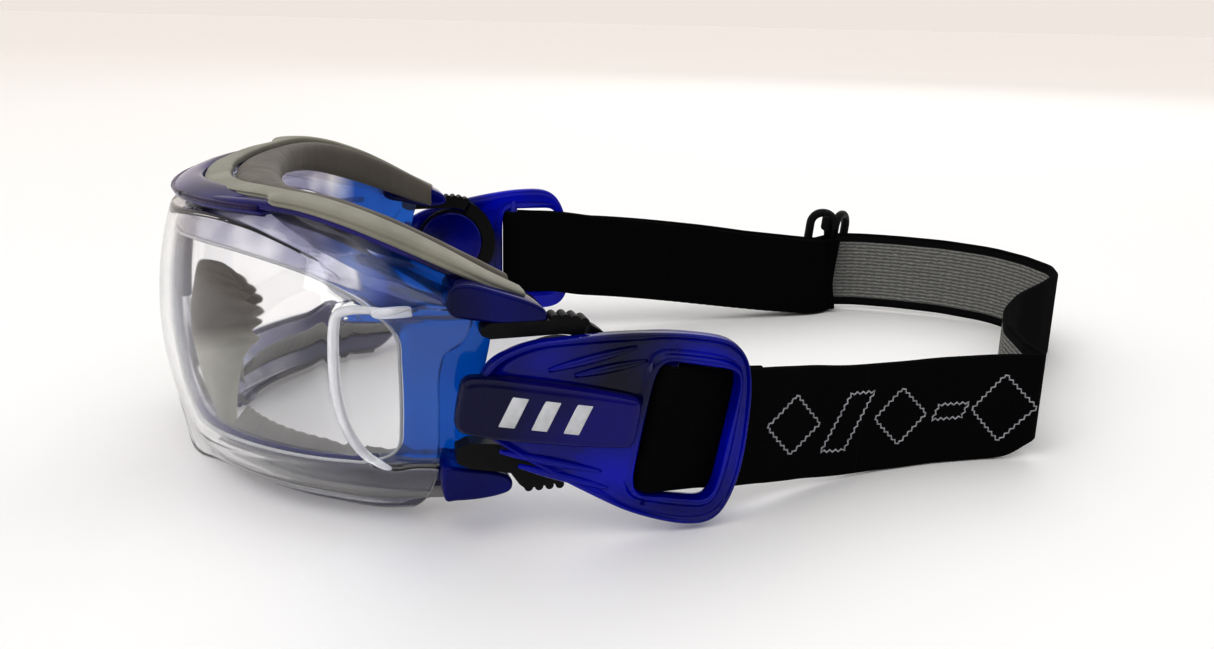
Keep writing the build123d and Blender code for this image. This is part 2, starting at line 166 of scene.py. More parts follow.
def rounded_route(points, radii, step):
    """A plan route with its corners rounded to the given radii, as points about a step apart."""
    points = [Vector(p) for p in points]
    line = [points[0]]
    for before, corner, after, radius in zip(points, points[1:], points[2:], radii):
        come = (before - corner).normalized()
        go = (after - corner).normalized()
        half = come.angle(go) / 2
        back = radius / tan(half)
        centre = corner + (come + go).normalized() * (radius / sin(half))
        start, end = corner + come * back, corner + go * back
        sweep = pi - 2 * half
        pieces = max(2, round(sweep * radius / step))
        for k in range(pieces + 1):
            share = k / pieces
            arm = (start - centre) * sin((1 - share) * sweep) / sin(sweep)
            arm += (end - centre) * sin(share * sweep) / sin(sweep)
            line.append(centre + arm)
    line.append(points[-1])
    return even_line(line, step)


def even_places(line, step):
    """Where even steps along a line of points fall, as pairs of (span, share of that span)."""
    lengths = [0.0]
    for a, b in zip(line, line[1:]):
        lengths.append(lengths[-1] + (b - a).length)
    count = max(2, round(lengths[-1] / step))
    places, k = [], 0
    for i in range(count + 1):
        want = lengths[-1] * i / count
        while k < len(lengths) - 2 and lengths[k + 1] < want:
            k += 1
        span = lengths[k + 1] - lengths[k]
        places.append((k, (want - lengths[k]) / span if span else 0.0))
    return places


def even_line(line, step):
    """The same line cut into even steps."""
    return [line[k].lerp(line[k + 1], share) for k, share in even_places(line, step)]


def mesh_object(name, points, faces, *materials, kinds=(), uvs=None):
    """A new object from drawn points (millimetres) and faces."""
    mesh = bpy.data.meshes.new(name)
    mesh.from_pydata([place(p) for p in points], [], faces)
    for material in materials:
        mesh.materials.append(material)
    for polygon, kind in zip(mesh.polygons, kinds):
        polygon.material_index = kind
    if uvs:
        layer = mesh.uv_layers.new(name="UVMap")
        for loop in mesh.loops:
            layer.data[loop.index].uv = uvs[loop.vertex_index]
    piece = bpy.data.objects.new(name, mesh)
    bpy.context.scene.collection.objects.link(piece)
    return shade_smooth(piece)


def shade_smooth(piece):
    """Shades every face of a piece smoothly."""
    for polygon in piece.data.polygons:
        polygon.use_smooth = True
    return piece


def fix_normals(piece, merge=0.0):
    """Joins points that are closer than merge and turns every face of a piece outwards."""
    work = bmesh.new()
    work.from_mesh(piece.data)
    if merge:
        bmesh.ops.remove_doubles(work, verts=work.verts, dist=merge)
    bmesh.ops.recalc_face_normals(work, faces=work.faces)
    work.to_mesh(piece.data)
    work.free()
    return piece


def fit(piece, body, slot, *nodes):
    """Makes a piece ride on a body in place of the named CAD nodes; the slot is not used."""
    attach(piece, body)
    if nodes:
        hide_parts(*nodes)


def skin_faces(size, count, spans, start=0):
    """The faces between one ring of points and the next, for a count of rings of a size."""
    corners = [(k, (k + 1) % size) for k in range(spans)]
    return [(i + a, i + b, i + b + size, i + a + size)
            for i in range(start, start + (count - 1) * size, size) for a, b in corners]


def cap_faces(size, count):
    """The two faces that close a row of rings at its ends."""
    last = (count - 1) * size
    return [tuple(range(size))[::-1], tuple(range(last, last + size))]


def loft(name, rings, material, caps=True, closed_rings=True):
    """A skin over a row of rings that have equally many points each."""
    size, count = len(rings[0]), len(rings)
    faces = skin_faces(size, count, size if closed_rings else size - 1)
    if caps:
        faces += cap_faces(size, count)
    points = [p for ring in rings for p in ring]
    return fix_normals(mesh_object(name, points, faces, material))


def turns(sides):
    """The angles of the points round a ring."""
    return [2 * pi * k / sides for k in range(sides)]


def squircle(angle, power):
    """A point on a rounded square from -1 to 1."""
    c, s = cos(angle), sin(angle)
    return (copysign(abs(c) ** (2 / power), c), copysign(abs(s) ** (2 / power), s))


def swept(name, rows, sides, power, spot, material):
    """A skin over rounded-square rings. spot(row, across, up) places the points of a row."""
    rings = [[spot(row, *squircle(angle, power)) for angle in turns(sides)] for row in rows]
    return loft(name, rings, material)


def tube(name, line, radius, material, sides=12, closed=False):
    """A round rod along a line of drawn points."""
    rings = []
    count = len(line)
    for i, point in enumerate(line):
        after = line[(i + 1) % count] if closed or i + 1 < count else point
        before = line[i - 1] if closed or i else point
        along = (after - before).normalized()
        side = along.cross(Vector((1, 0, 0)))
        if side.length < 0.3:
            side = along.cross(Vector((0, 0, 1)))
        side.normalize()
        up = side.cross(along)
        size = radius(i / (count - 1)) if callable(radius) else radius
        rings.append([point + (side * cos(a) + up * sin(a)) * size for a in turns(sides)])
    if closed:
        rings.append(rings[0])
    return loft(name, rings, material, caps=not closed)


def inset_outline(outline, amount):
    """A closed outline of drawn points in a side view, moved inwards."""
    count = len(outline)
    area = sum(a.y * b.z - b.y * a.z for a, b in zip(outline, outline[1:] + outline[:1]))
    turn = 1 if area > 0 else -1
    moved = []
    for i, point in enumerate(outline):
        along = outline[(i + 1) % count] - outline[i - 1]
        inwards = Vector((0, -along.z, along.y)).normalized() * turn
        moved.append(point + inwards * amount)
    return moved


def plate(name, outline, low_x, high_x, edge, material, side):
    """A slab with rounded edges, from a smooth side outline and two planes across the width."""
    steps = 5
    arcs = [pi / 2 * k / steps for k in range(steps + 1)]
    profile = [(edge * (1 - sin(a)), low_x + edge * (1 - cos(a))) for a in arcs]
    profile += [(edge * (1 - cos(a)), high_x - edge * (1 - sin(a))) for a in arcs]
    rings = [[mirrored((x, p.y, p.z), side) for p in inset_outline(outline, amount)]
             for amount, x in profile]
    return loft(name, rings, material)


def modifier(piece, kind, **settings):
    """Adds a modifier with its settings."""
    added = piece.modifiers.new(kind.lower(), kind)
    for key, value in settings.items():
        setattr(added, key, value)


def settle(piece):
    """Turns a piece's modifiers into its mesh."""
    graph = bpy.context.evaluated_depsgraph_get()
    mesh = bpy.data.meshes.new_from_object(piece.evaluated_get(graph))
    piece.modifiers.clear()
    piece.data = mesh
    return piece


def turned(point, degrees):
    """A drawn point turned about the hub's axis."""
    return HUB + Matrix.Rotation(radians(degrees), 3, "X") @ (Vector(point) - HUB)


# ------------------------ camera, light and floor

CAMERA_AZIMUTH = 73.5
CAMERA_ELEVATION = 15.76
CAMERA_ROLL = 1.34
CAMERA_POINT = (252.4, 24.6, 95.0)
CAMERA_LENS = 31.96


def make_camera():
    azimuth, elevation, roll = map(radians, (CAMERA_AZIMUTH, CAMERA_ELEVATION, CAMERA_ROLL))
    back = Vector((sin(azimuth) * cos(elevation),
                   -cos(azimuth) * cos(elevation), sin(elevation)))
    right = Vector((cos(azimuth), sin(azimuth), 0))
    up = right.cross(-back)
    rolled_right = cos(roll) * right + sin(roll) * up
    rolled_up = -sin(roll) * right + cos(roll) * up
    data = bpy.data.cameras.new("camera")
    data.lens = CAMERA_LENS
    data.sensor_width = 36.0
    data.clip_start = 0.01
    camera = bpy.data.objects.new("camera", data)
    turn = Matrix((rolled_right, rolled_up, back)).transposed().to_4x4()
    camera.matrix_world = Matrix.Translation(place(CAMERA_POINT)) @ turn
    bpy.context.scene.collection.objects.link(camera)
    bpy.context.scene.camera = camera


def area_light(name, point, target, size, power, colour=(1, 1, 1)):
    data = bpy.data.lights.new(name, "AREA")
    data.shape = "RECTANGLE"
    data.size, data.size_y = size
    data.energy = power
    data.color = colour
    light = bpy.data.objects.new(name, data)
    light.location = point
    light.rotation_mode = "QUATERNION"
    light.rotation_quaternion = (Vector(target) - Vector(point)).to_track_quat("-Z", "Y")
    bpy.context.scene.collection.objects.link(light)
    return light


def make_lights():
    key = area_light("key_light", (0.7, -0.6, 1.3), (0, 0, 0), (1.4, 1.4), 9.0, (1, 0.99, 0.97))
    key.visible_glossy = False
    area_light("window_light", (-1.1, 0.7, 0.9), (0, 0, 0), (1.0, 0.6), 3.5, (0.97, 0.98, 1))
    area_light("strip_light", (0.45, -0.9, 0.5), (0, -0.08, 0.03), (0.15, 0.7), 0.9)
    world = bpy.data.worlds.new("room")
    world.use_nodes = True
    room = Nodes(world.node_tree)
    background = room.tree.nodes["Background"]
    direction = room.add("ShaderNodeTexCoord", "Generated", {})

    def blend(axis, low, high, first, second):
        share = room.spread(room.axis(axis, direction), 0.0, 1.0, low, high, "SMOOTHSTEP")
        return room.blend_colours(share, first, second)

    # The wall behind is bright, the room on the near side is dim above a pale horizon, and the
    # ceiling is pale.
    pale = (0.855, 0.80, 0.76)
    walls = blend("X", -0.15, 0.55, pale, (0.16, 0.16, 0.18))
    rising = blend("Z", 0.14, 0.24, pale, walls)
    room.give(background.inputs["Color"], blend("Z", 0.3, 0.8, rising, (1.05, 1.06, 1.08)))
    background.inputs["Strength"].default_value = 1.0
    bpy.context.scene.world = world


def make_floor():
    """A wide pale table top with painted light falloff: darker and greyer near the goggles, brighter and
    warmer away from them.
    """
    half = 30.0
    mesh = bpy.data.meshes.new("floor")
    corners = [(-half, -half, 0), (half, -half, 0), (half, half, 0), (-half, half, 0)]
    mesh.from_pydata(corners, [], [(0, 1, 2, 3)])
    floor = bpy.data.objects.new("floor", mesh)
    bpy.context.scene.collection.objects.link(floor)
    surface = Surface("pale_table", (0.86, 0.84, 0.815), roughness=0.7, specular=0.25)
    away = surface.add("ShaderNodeVectorMath", "Value", {0: surface.place}, operation="LENGTH")
    # Painted shade and light: the table's colour darkens near the goggles and brightens away from them.
    reach = surface.spread(away, 0.0, 1.0, 0.3, 2.2)
    painted_falloff_tone = surface.blend_colours(reach, (0.80, 0.79, 0.775), (0.97, 0.91, 0.85))
    patches = surface.spread(surface.noise(3.0), 0.0, 0.05)
    surface.set("Base Color", surface.blend_colours(patches, painted_falloff_tone, (0.7, 0.7, 0.72)))
    mesh.materials.append(surface.material)


# ------------------------ materials

class Nodes:
    """Short ways to add nodes to a node tree."""

    def __init__(self, tree):
        self.tree = tree

    def give(self, socket, value):
        """Links a source to a socket, or sets the socket to a number or a colour."""
        if isinstance(value, bpy.types.NodeSocket):
            self.tree.links.new(value, socket)
        else:
            socket.default_value = (*value, 1.0) if isinstance(value, tuple) else value

    def add(self, kind, output, inputs, **settings):
        """Adds a node, fills its inputs and returns one of its outputs."""
        made = self.tree.nodes.new(kind)
        for key, value in settings.items():
            setattr(made, key, value)
        for key, value in inputs.items():
            self.give(made.inputs[key], value)
        return made.outputs[output]

    def axis(self, name, vector):
        return self.add("ShaderNodeSeparateXYZ", name, {"Vector": vector})

    def spread(self, value, low, high, from_low=0.3, from_high=0.7, kind="LINEAR"):
        """A value from from_low..from_high spread over low..high."""
        ends = {"From Min": from_low, "From Max": from_high, "To Min": low, "To Max": high}
        return self.add("ShaderNodeMapRange", "Result", {"Value": value, **ends},
                        interpolation_type=kind)

    def blend_colours(self, share, first, second):
        """Mixes two colours, each a tuple or a source, by a share."""
        return self.add("ShaderNodeMix", 2, {"Factor": share, 6: first, 7: second},
                        data_type="RGBA")

    def calculate(self, operation, *values):
        return self.add("ShaderNodeMath", 0, dict(enumerate(values)), operation=operation)


class Surface(Nodes):
    """A procedural material round one Principled shader."""

    def __init__(self, name, colour, roughness, specular=0.5):
        self.material = bpy.data.materials.new(name)
        self.material.use_nodes = True
        super().__init__(self.material.node_tree)
        self.shader = self.tree.nodes["Principled BSDF"]
        self.colour = colour
        self.height_source = None
        self.set("Base Color", colour)
        self.set("Roughness", roughness)
        self.set("Specular IOR Level", specular)
        self.place = self.add("ShaderNodeTexCoord", "Object", {})

    def set(self, socket, value):
        self.give(self.shader.inputs[socket], value)

    def sheen(self, weight, roughness):
        self.set("Sheen Weight", weight)
        self.set("Sheen Roughness", roughness)

    def noise(self, scale, detail=4.0, roughness=0.55, vector=None):
        """Noise with a grain of about 1/scale metres, as a 0 to 1 value."""
        return self.add("ShaderNodeTexNoise", "Fac",
                        {"Scale": scale, "Detail": detail, "Roughness": roughness,
                         "Vector": vector or self.place})

    def along(self, axis, low, high):
        """0 to 1 between two drawn coordinates on an axis."""
        ends = [place((end, end, end))["XYZ".index(axis)] for end in (low, high)]
        return self.spread(self.axis(axis, self.place), 0.0, 1.0, *ends)

    def vary_colour(self, scale, amount):
        """Lightens and darkens the colour by a share, in soft patches."""
        patches = self.spread(self.noise(scale), 0.0, 1.0)
        dark = tuple(c * (1 - amount) for c in self.colour)
        light = tuple(min(1.0, c * (1 + amount)) for c in self.colour)
        self.set("Base Color", self.blend_colours(patches, dark, light))

    def vary_roughness(self, scale, low, high):
        self.set("Roughness", self.spread(self.noise(scale), low, high))

    def bump(self, value, distance, strength):
        """Adds a height, in metres, under any bump that is already there."""
        inputs = {"Distance": distance, "Strength": strength, "Height": value}
        if self.height_source:
            inputs["Normal"] = self.height_source
        self.height_source = self.add("ShaderNodeBump", "Normal", inputs)
        self.set("Normal", self.height_source)

    def let_through(self, share, index, tint):
        """Makes the plastic clear. Rays from lamps pass with a tint, which lightens its shadow."""
        self.set("Transmission Weight", share)
        self.set("IOR", index)
        ray = self.add("ShaderNodeLightPath", "Is Shadow Ray", {})
        clear = self.add("ShaderNodeBsdfTransparent", "BSDF", {"Color": tint})
        chosen = self.add("ShaderNodeMixShader", "Shader",
                          {"Fac": ray, 1: self.shader.outputs["BSDF"], 2: clear})
        self.give(self.tree.nodes["Material Output"].inputs["Surface"], chosen)


def plain_material(name, colour, roughness, grain, specular=0.5, patches=None, rough=None,
                   clear=None):
    """A material of one colour.

    grain is the (scale, metres, strength) of the bump, patches the (scale, share) by which the
    colour varies, rough the (scale, low, high) of the roughness, and clear the (share of light let
    through, index of refraction, tint of the shadow) of a clear plastic.
    """
    plain = Surface(name, colour, roughness, specular)
    if clear:
        plain.let_through(*clear)
    if patches:
        plain.vary_colour(*patches)
    if rough:
        plain.vary_roughness(*rough)
    plain.bump(plain.noise(grain[0], 2.0), *grain[1:])
    return plain.material


def clear_blue_material(name, colour, see_through, roughness=0.08, dark=0.3, patches=38.0):
    blue = Surface(name, colour, roughness, specular=0.22)
    blue.let_through(see_through, 1.49, (0.5, 0.52, 0.72))
    # Patches between a deep and a light tone: partly uneven tint, partly painted dark reflections and
    # shade. The lower dark is, the stronger they are.
    depth = blue.spread(blue.noise(patches, 1.5), 0.0, 1.0, 0.4, 0.62)
    deep = tuple(c * dark for c in colour)
    blue.set("Base Color", blue.blend_colours(depth, deep, tuple(min(1.0, c * 1.25) for c in colour)))
    blue.vary_roughness(160.0, roughness * 0.6, roughness * 1.8)
    blue.bump(blue.noise(220.0, 3.0), 0.00004, 0.3)
    return blue.material


def frame_material():
    """Clear violet-grey over the face with patches of painted near-white sheen, deep blue at the sides,
    and darkening towards the sides below.
    """
    blue = Surface("frame_plastic", (0.0, 0.05, 0.7), roughness=0.06)
    blue.let_through(0.9, 1.49, (0.84, 0.85, 0.92))
    # The noise patches swing between near-white and violet-grey: painted sheen over the face.
    sheen_patches = blue.spread(blue.noise(55.0, 2.0), 0.0, 1.0, 0.42, 0.62)
    pale = blue.blend_colours(sheen_patches, (0.90, 0.90, 0.94), (0.36, 0.36, 0.50))
    # Below, the colour darkens from the middle of the front towards the sides.
    darker_low_colour = blue.blend_colours(blue.along("Y", 2.0, 26.0), pale, (0.03, 0.03, 0.10))
    low = blue.along("Z", 14.5, 12.0)
    strong = blue.blend_colours(blue.noise(70.0, 2.0), (0.0, 0.07, 0.44), (0.0, 0.17, 0.62))
    upper = blue.blend_colours(blue.along("Y", 35.0, 41.5), pale, strong)
    blue.set("Base Color", blue.blend_colours(low, upper, darker_low_colour))
    blue.vary_roughness(160.0, 0.04, 0.12)
    blue.bump(blue.noise(220.0, 3.0), 0.00004, 0.3)
    return blue.material


def saddle_material():
    """Brown-grey silicone: near black above and pale grey-green below, changing from z 28.5 down to
    23.5.
    """
    soft = Surface("nose_silicone", (0.16, 0.14, 0.12), roughness=0.6, specular=0.35)
    grain = soft.spread(soft.noise(90.0), 0.0, 1.0)
    upper = soft.blend_colours(grain, (0.05, 0.041, 0.033), (0.12, 0.10, 0.082))
    lower = soft.blend_colours(grain, (0.36, 0.35, 0.30), (0.47, 0.46, 0.40))
    soft.set("Base Color", soft.blend_colours(soft.along("Z", 28.5, 23.5), upper, lower))
    soft.vary_roughness(240.0, 0.5, 0.75)
    soft.bump(soft.noise(1500.0, 2.0), 0.00005, 0.5)
    return soft.material


def soft_touch_material(name, colour, grain=2600.0):
    soft = Surface(name, colour, roughness=0.72, specular=0.3)
    soft.sheen(0.12, 0.5)
    soft.vary_colour(70.0, 0.12)
    soft.vary_roughness(240.0, 0.6, 0.85)
    soft.bump(soft.noise(grain, 2.0), 0.00006, 0.6)
    return soft.material


def webbing_material(name, colour, rib_colour, rib, weft, border=None):
    """Woven elastic. The UV map holds millimetres along and across the strap."""
    cloth = Surface(name, colour, roughness=0.95, specular=0.03)
    cloth.sheen(0.01, 0.4)
    uv = cloth.add("ShaderNodeUVMap", "UV", {}, uv_map="UVMap")

    def wave(axis, pitch, wander):
        phase = cloth.calculate("MULTIPLY", cloth.axis(axis, uv), 2 * pi / pitch)
        sine = cloth.calculate("SINE", cloth.calculate("ADD", phase, wander))
        return cloth.spread(sine, 0.0, 1.0, -1.0, 1.0)

    ribs = wave("Y", rib, cloth.spread(cloth.noise(0.6, 3.0, vector=uv), -1.2, 1.2))
    threads = wave("X", weft, cloth.spread(cloth.noise(1.3, 2.0, vector=uv), -2.0, 2.0))
    weave = cloth.calculate("MULTIPLY", ribs, cloth.spread(threads, 0.72, 1.0, 0.0, 1.0))
    fuzz = cloth.noise(2.2, 4.0, 0.7, vector=uv)
    shade = cloth.calculate("MULTIPLY", weave, cloth.spread(fuzz, 0.5, 1.3))
    woven = cloth.blend_colours(shade, colour, rib_colour)
    if border:
        inside = STRAP_WIDTH / 2 - STRAP_BORDER
        centred = cloth.calculate("ABSOLUTE", cloth.axis("Y", uv))
        edge = cloth.spread(centred, 0.0, 1.0, inside - 0.15, inside + 0.15)
        woven = cloth.blend_colours(edge, woven, border)
    cloth.set("Base Color", woven)
    cloth.bump(weave, 0.0002, 0.45)
    cloth.bump(fuzz, 0.0001, 0.4)
    return cloth.material


# ------------------------ lens

LENS_WALL = 1.8
LENS_MIDDLE_Z = 31.0
LENS_RADIUS = 65.0
LENS_BULGE = 148.0

# Heights and radii along the lens, by the angle round the head from the middle of the front.
lens_top_crease = through([(0, 54.6), (12, 55.6), (29, 57.3), (39, 57.2), (46, 56.3), (55, 53.8),
                           (61, 51), (65, 47.8), (68, 45.2), (72, 44.2), (80, 43.8), (92, 43.6)])
lens_lip = through([(0, 56.6), (10, 57.4), (34, 60.6), (42, 61.4), (50, 60), (63, 57.3),
                    (73, 54), (79, 50.8), (84, 47.6), (92, 45)])
lens_lip_radius = through([(0, 55.4), (10, 54.3), (34, 53), (50, 53.3), (63, 54.8), (73, 55.9),
                           (79, 56.6), (92, 58)])
lens_low_crease = through([(0, 28.4), (5, 25.4), (8, 20), (11, 11.5), (13.5, 9.4), (18, 9.2),
                           (33, 10.2), (67, 13.2), (92, 13.8)])
lens_foot = through([(0, 26), (4, 23.6), (7, 17.6), (9.5, 8.6), (11.5, 2.6), (13.5, 0.9),
                     (17, 0.5), (92, 0.5)])
lens_foot_radius = through([(0, 63.4), (6, 62.8), (11, 61.4), (14, 59.8), (18.6, 57.2), (25, 55.2),
                            (33, 54), (46, 53.3), (56, 53), (66, 53.5), (73, 52.6), (92, 52)])
lens_rear = through([(-1, 43.5), (3.5, 46.2), (9, 47.6), (14, 48.2), (31, 48.4), (34, 48.9),
                     (36.4, 50), (38.2, 52.9), (41.5, 54.6), (45, 53.9), (48.6, 51.8), (53, 48.4),
                     (56, 44), (62, 36)])
SIDE_BEAD = [(43.4, 43.9), (36.4, 44.3), (32.4, 43.9), (30.6, 42.2), (30, 36), (30.2, 28.5),
             (31.6, 22), (34.3, 17), (37.4, 14.4), (40.6, 13.2)]
BEAD_WIDTH = 1.9
BEAD_HEIGHT = 0.45
WINDOW_DEPTH = 0.9
# The shares of the way from foot to lip at which the pane starts and ends.
PANE_START = 0.16
PANE_END = 0.78


def pane_radius(z):
    return LENS_RADIUS - (z - LENS_MIDDLE_Z) ** 2 / LENS_BULGE


bead_line = [(p.x, p.y) for p in smooth_line([(*p, 0) for p in SIDE_BEAD], 6)]


def side_relief(y, z):
    """How far the lens's side stands out, with its bead and the sunk window behind it."""
    if y < 24 or not 8 < z < 50:
        return 0.0
    nearest = min(hypot(y - py, z - pz) for py, pz in bead_line)
    bead = BEAD_HEIGHT * exp(-((nearest / BEAD_WIDTH) ** 2))
    front = max((py for py, pz in bead_line if abs(pz - z) < 1.5), default=60.0)
    front = min((py for py, pz in bead_line if abs(pz - z) < 1.5), default=front)
    sunk = smoothstep(front + 0.4, front + 2.4, y)
    sunk *= smoothstep(13.6, 15.4, z) * (1 - smoothstep(42.2, 44.0, z))
    return bead - WINDOW_DEPTH * sunk


def lens_point(degrees, share):
    """A point on the lens's outer face: share is 0 at the foot, 1 at the lip under the trim."""
    turn = abs(degrees)
    foot, low = lens_foot(turn), lens_low_crease(turn)
    crease, lip = lens_top_crease(turn), lens_lip(turn)
    if share < PANE_START:
        part = share / PANE_START
        z = mix(foot, low, part)
        radius = mix(lens_foot_radius(turn), pane_radius(low), part ** 0.9)
        radius += 0.7 * sin(pi * part) * smoothstep(12, 30, turn)
    elif share < PANE_END:
        z = mix(low, crease, (share - PANE_START) / (PANE_END - PANE_START))
        radius = pane_radius(z)
    else:
        part = (share - PANE_END) / (1 - PANE_END)
        z = mix(crease, lip, part)
        bulge = mix(0.7, 2.3, smoothstep(55, 72, turn))
        radius = mix(pane_radius(crease), lens_lip_radius(turn), part)
        radius += bulge * sin(pi * part)
    radius += side_relief(round_head(degrees, radius, z).y, z)
    return round_head(degrees, radius, z)


def lens_end(share):
    """The angle at which the lens's side reaches its rear outline."""
    low, high = 40.0, 100.0
    for _ in range(24):
        middle = (low + high) / 2
        point = lens_point(middle, share)
        low, high = (middle, high) if point.y < lens_rear(point.z) else (low, middle)
    return low


def make_lens(material):
    shares = [PANE_START * k / 12 for k in range(12)]
    shares += [mix(PANE_START, PANE_END, k / 54) for k in range(54)]
    shares += [mix(PANE_END, 1, k / 20) for k in range(21)]
    columns = 300
    rows = []
    for share in shares:
        end = lens_end(share)
        rows.append([lens_point(end * (2 * k / columns - 1), share) for k in range(columns + 1)])
    lens = loft("clear_lens", rows, material, caps=False, closed_rings=False)
    modifier(lens, "SMOOTH", factor=0.5, iterations=2)
    modifier(lens, "SOLIDIFY", thickness=LENS_WALL / 1000, offset=-1.0)
    shade_smooth(settle(lens))
    fit(lens, "goggles", "lens", "lens")


def side_surface(y, z, lift):
    """A point on the lens's near side by its depth and height, lifted off the surface."""
    radius = pane_radius(z) + side_relief(y, z) + lift
    x = WIDEN * sqrt(radius**2 - (HEAD_Y - y) ** 2)
    return Vector((x, y, z))


def make_side_beads(side, word, material):
    """The rounded bead along the side window's front edge and the tab at its top. Both are milky pale on
    clear lens, a painted highlight; the tab stands partly for a highlight itself.
    """
    line = [mirrored(side_surface(y, z, 0.1), side) for y, z in bead_line[2:-2]]
    fit(tube(f"{word}_side_bead", line,
             lambda share: 1.05 * sqrt(max(0.05, sin(pi * share) ** 0.5)), material, sides=14),
        "goggles", "lens")
    outline = side_outline([(37.4, 43.2), (37.4, 44.7), (43.2, 44.9), (43.8, 44.2), (43.4, 43.1)], 5)
    middle_x = side_surface(40.5, 44, 0.2).x
    fit(plate(f"{word}_side_tab", outline, middle_x - 1.2, middle_x + 0.4, 0.3, material, side),
        "goggles", "lens")


# ------------------------ frame

# The frame's outer edge and window edge on one side, as pairs of (angle round the head, height).
FRAME_EDGES = [
    ((0, 26.5), (4.2, 35.5)), ((0, 40), (3.8, 41)), ((0, 57.4), (4.6, 50.2)),
    ((20, 58.2), (20, 51.2)), ((40, 59.4), (40, 51.4)), ((60, 57.6), (55, 49.6)),
    ((73, 53.6), (64, 46.4)), ((82, 49.6), (70, 42.6)), ((89, 45.4), (73, 38.6)),
    ((88, 38), (73.4, 34)), ((86.5, 29), (73.5, 28)), ((87.5, 20), (73.3, 22)),
    ((87, 12.4), (72.6, 17.4)), ((81, 5.6), (69.4, 14.6)), ((73, 1.8), (63, 13.7)),
    ((58, 1.2), (54, 13.4)), ((40, 1.2), (40, 13.2)), ((23, 1.4), (26, 13)),
    ((12.6, 1.8), (18.6, 14.6)), ((8.6, 12), (13.2, 21)), ((5, 20.6), (8, 29)),
]
outer_edge, window_edge = (smooth_line([(*pair[k], 0) for pair in FRAME_EDGES], 8, closed=True)
                           for k in (0, 1))
FRAME_INSET = 2.5
FRAME_WALL = 2.0
SAME_POINT = 0.00002
form_radius = through([(-2, 51.4), (0, 53), (6, 58), (12, 62.3), (20, 64.2), (31, 65), (44, 63.9),
                       (52, 62), (56, 59.6), (60, 56.4)])


def wrapped(degrees, z, inset):
    """A point inside the lens's surface by an inset."""
    return round_head(degrees, form_radius(z) - inset, z)


def make_frame(material):
    """The frame: a band round each eye window, joined at the bridge."""
    bands = 9
    size = len(outer_edge)
    points, faces = [], []
    for side in (1, -1):
        start = len(points)
        for k in range(bands + 1):
            spots = (far.lerp(near, k / bands) for far, near in zip(outer_edge, window_edge))
            points += [wrapped(side * max(0.0, spot.x), spot.y, FRAME_INSET) for spot in spots]
        faces += [face[::side] for face in skin_faces(size, bands + 1, size, start)]
    shell = mesh_object("frame_shell", points, faces, material)
    fix_normals(shell, SAME_POINT)
    modifier(shell, "SOLIDIFY", thickness=FRAME_WALL / 1000, offset=-1.0)
    modifier(shell, "BEVEL", width=0.0005, segments=2, limit_method="ANGLE",
             angle_limit=radians(50))
    shade_smooth(settle(shell))
    fit(shell, "goggles", "frame_blue", "frame")


def make_bridge_rib(material):
    """The dark rib behind the lens at the bridge, forking round the nose, and the lower rim."""
    def rib_point(share, across, deep):
        z = mix(53.4, 33.5, share)
        y = HEAD_Y - form_radius(z) + FRAME_INSET + 1.6 + 2.0 * deep
        return Vector((across * mix(1.7, 2.2, share), y, z))

    pieces = [swept("bridge_rib", [k / 14 for k in range(15)], 20, 4.0, rib_point, material)]
    fork = smooth_line([(2.2, 35.5, 0), (4.6, 30.5, 0), (8, 25, 0), (12, 19.6, 0), (16.5, 15.4, 0),
                        (23, 13.3, 0), (40, 13.1, 0), (60, 13.5, 0), (68, 14.6, 0)], 6)
    for side, word in SIDES:
        pieces.append(tube(f"{word}_bridge_fork", [wrapped(side * p.x, p.y, 3.4) for p in fork],
                           lambda share: 1.05 - 0.35 * smoothstep(0, 0.6, share), material, 10))
        rim = [wrapped(side * d, 1.9, 2.0) for d in range(12, 64, 2)]
        pieces.append(tube(f"{word}_rim_line", rim, lambda share: 0.6 - 0.3 * share, material, 10))
    for piece in pieces:
        fit(piece, "goggles", "frame_blue")


# The snap tabs of one side: label, inner and outer plane, and the outline as (depth, height).
TABS = [
    ("upper", 60.4, 70.2, [(50, 49.2), (53.3, 50.0), (59, 48.3), (64.6, 46.2), (67.2, 44.4),
                           (67.0, 42.3), (61.8, 41.7), (56.2, 42.9), (50, 44.6)]),
    ("lower", 57.0, 68.6, [(48.6, 14.8), (53, 14.4), (58, 13.4), (60.6, 12.2), (61.4, 10.6),
                           (60.4, 9.0), (56, 8.2), (51, 8.2), (48.6, 8.8)]),
]


def make_tabs(side, word, material):
    """The two tabs that each yoke's prongs snap under."""
    for label, low_x, high_x, outline in TABS:
        fit(plate(f"{word}_{label}_tab", side_outline(outline, 6), low_x, high_x, 0.8, material,
                  side), "goggles", "frame_blue")


def make_lens_seal(material):
    """The thin soft bead between the lens and the frame, round each eye window."""
    for side, word in SIDES:
        line = [wrapped(side * max(1.4, p.x - 0.4), p.y, 2.25) for p in window_edge]
        fit(tube(f"{word}_window_seal", line, 0.32, material, sides=8, closed=True),
            "goggles", "seal", "lens_seal")


# ------------------------ brow, pads and gaskets

trim_low = through([(-8, 58.5), (5, 59.4), (12, 60.3), (18, 61), (26, 60.9), (34, 58.8), (43, 55.1),
                    (50, 51.8), (56, 48.8), (62, 46), (67, 45.2)])
trim_high = through([(-8, 60.5), (5, 61.7), (12, 62.6), (18, 63.3), (26, 63.5), (34, 61.9),
                     (43, 58.6), (50, 55.2), (56, 51.9), (62, 48.6), (67, 46.6)])
pad_low = through([(0, 55.5), (12, 56.5), (22, 56), (31, 54.4), (42, 50.4), (54, 45.6),
                   (62, 42.8), (66, 43.6)])
pad_high = through([(0, 60.6), (12, 61.6), (22, 62.4), (31, 62.1), (40, 59.6), (48, 56.1),
                    (54, 53.1), (62, 48.8), (66, 46)])
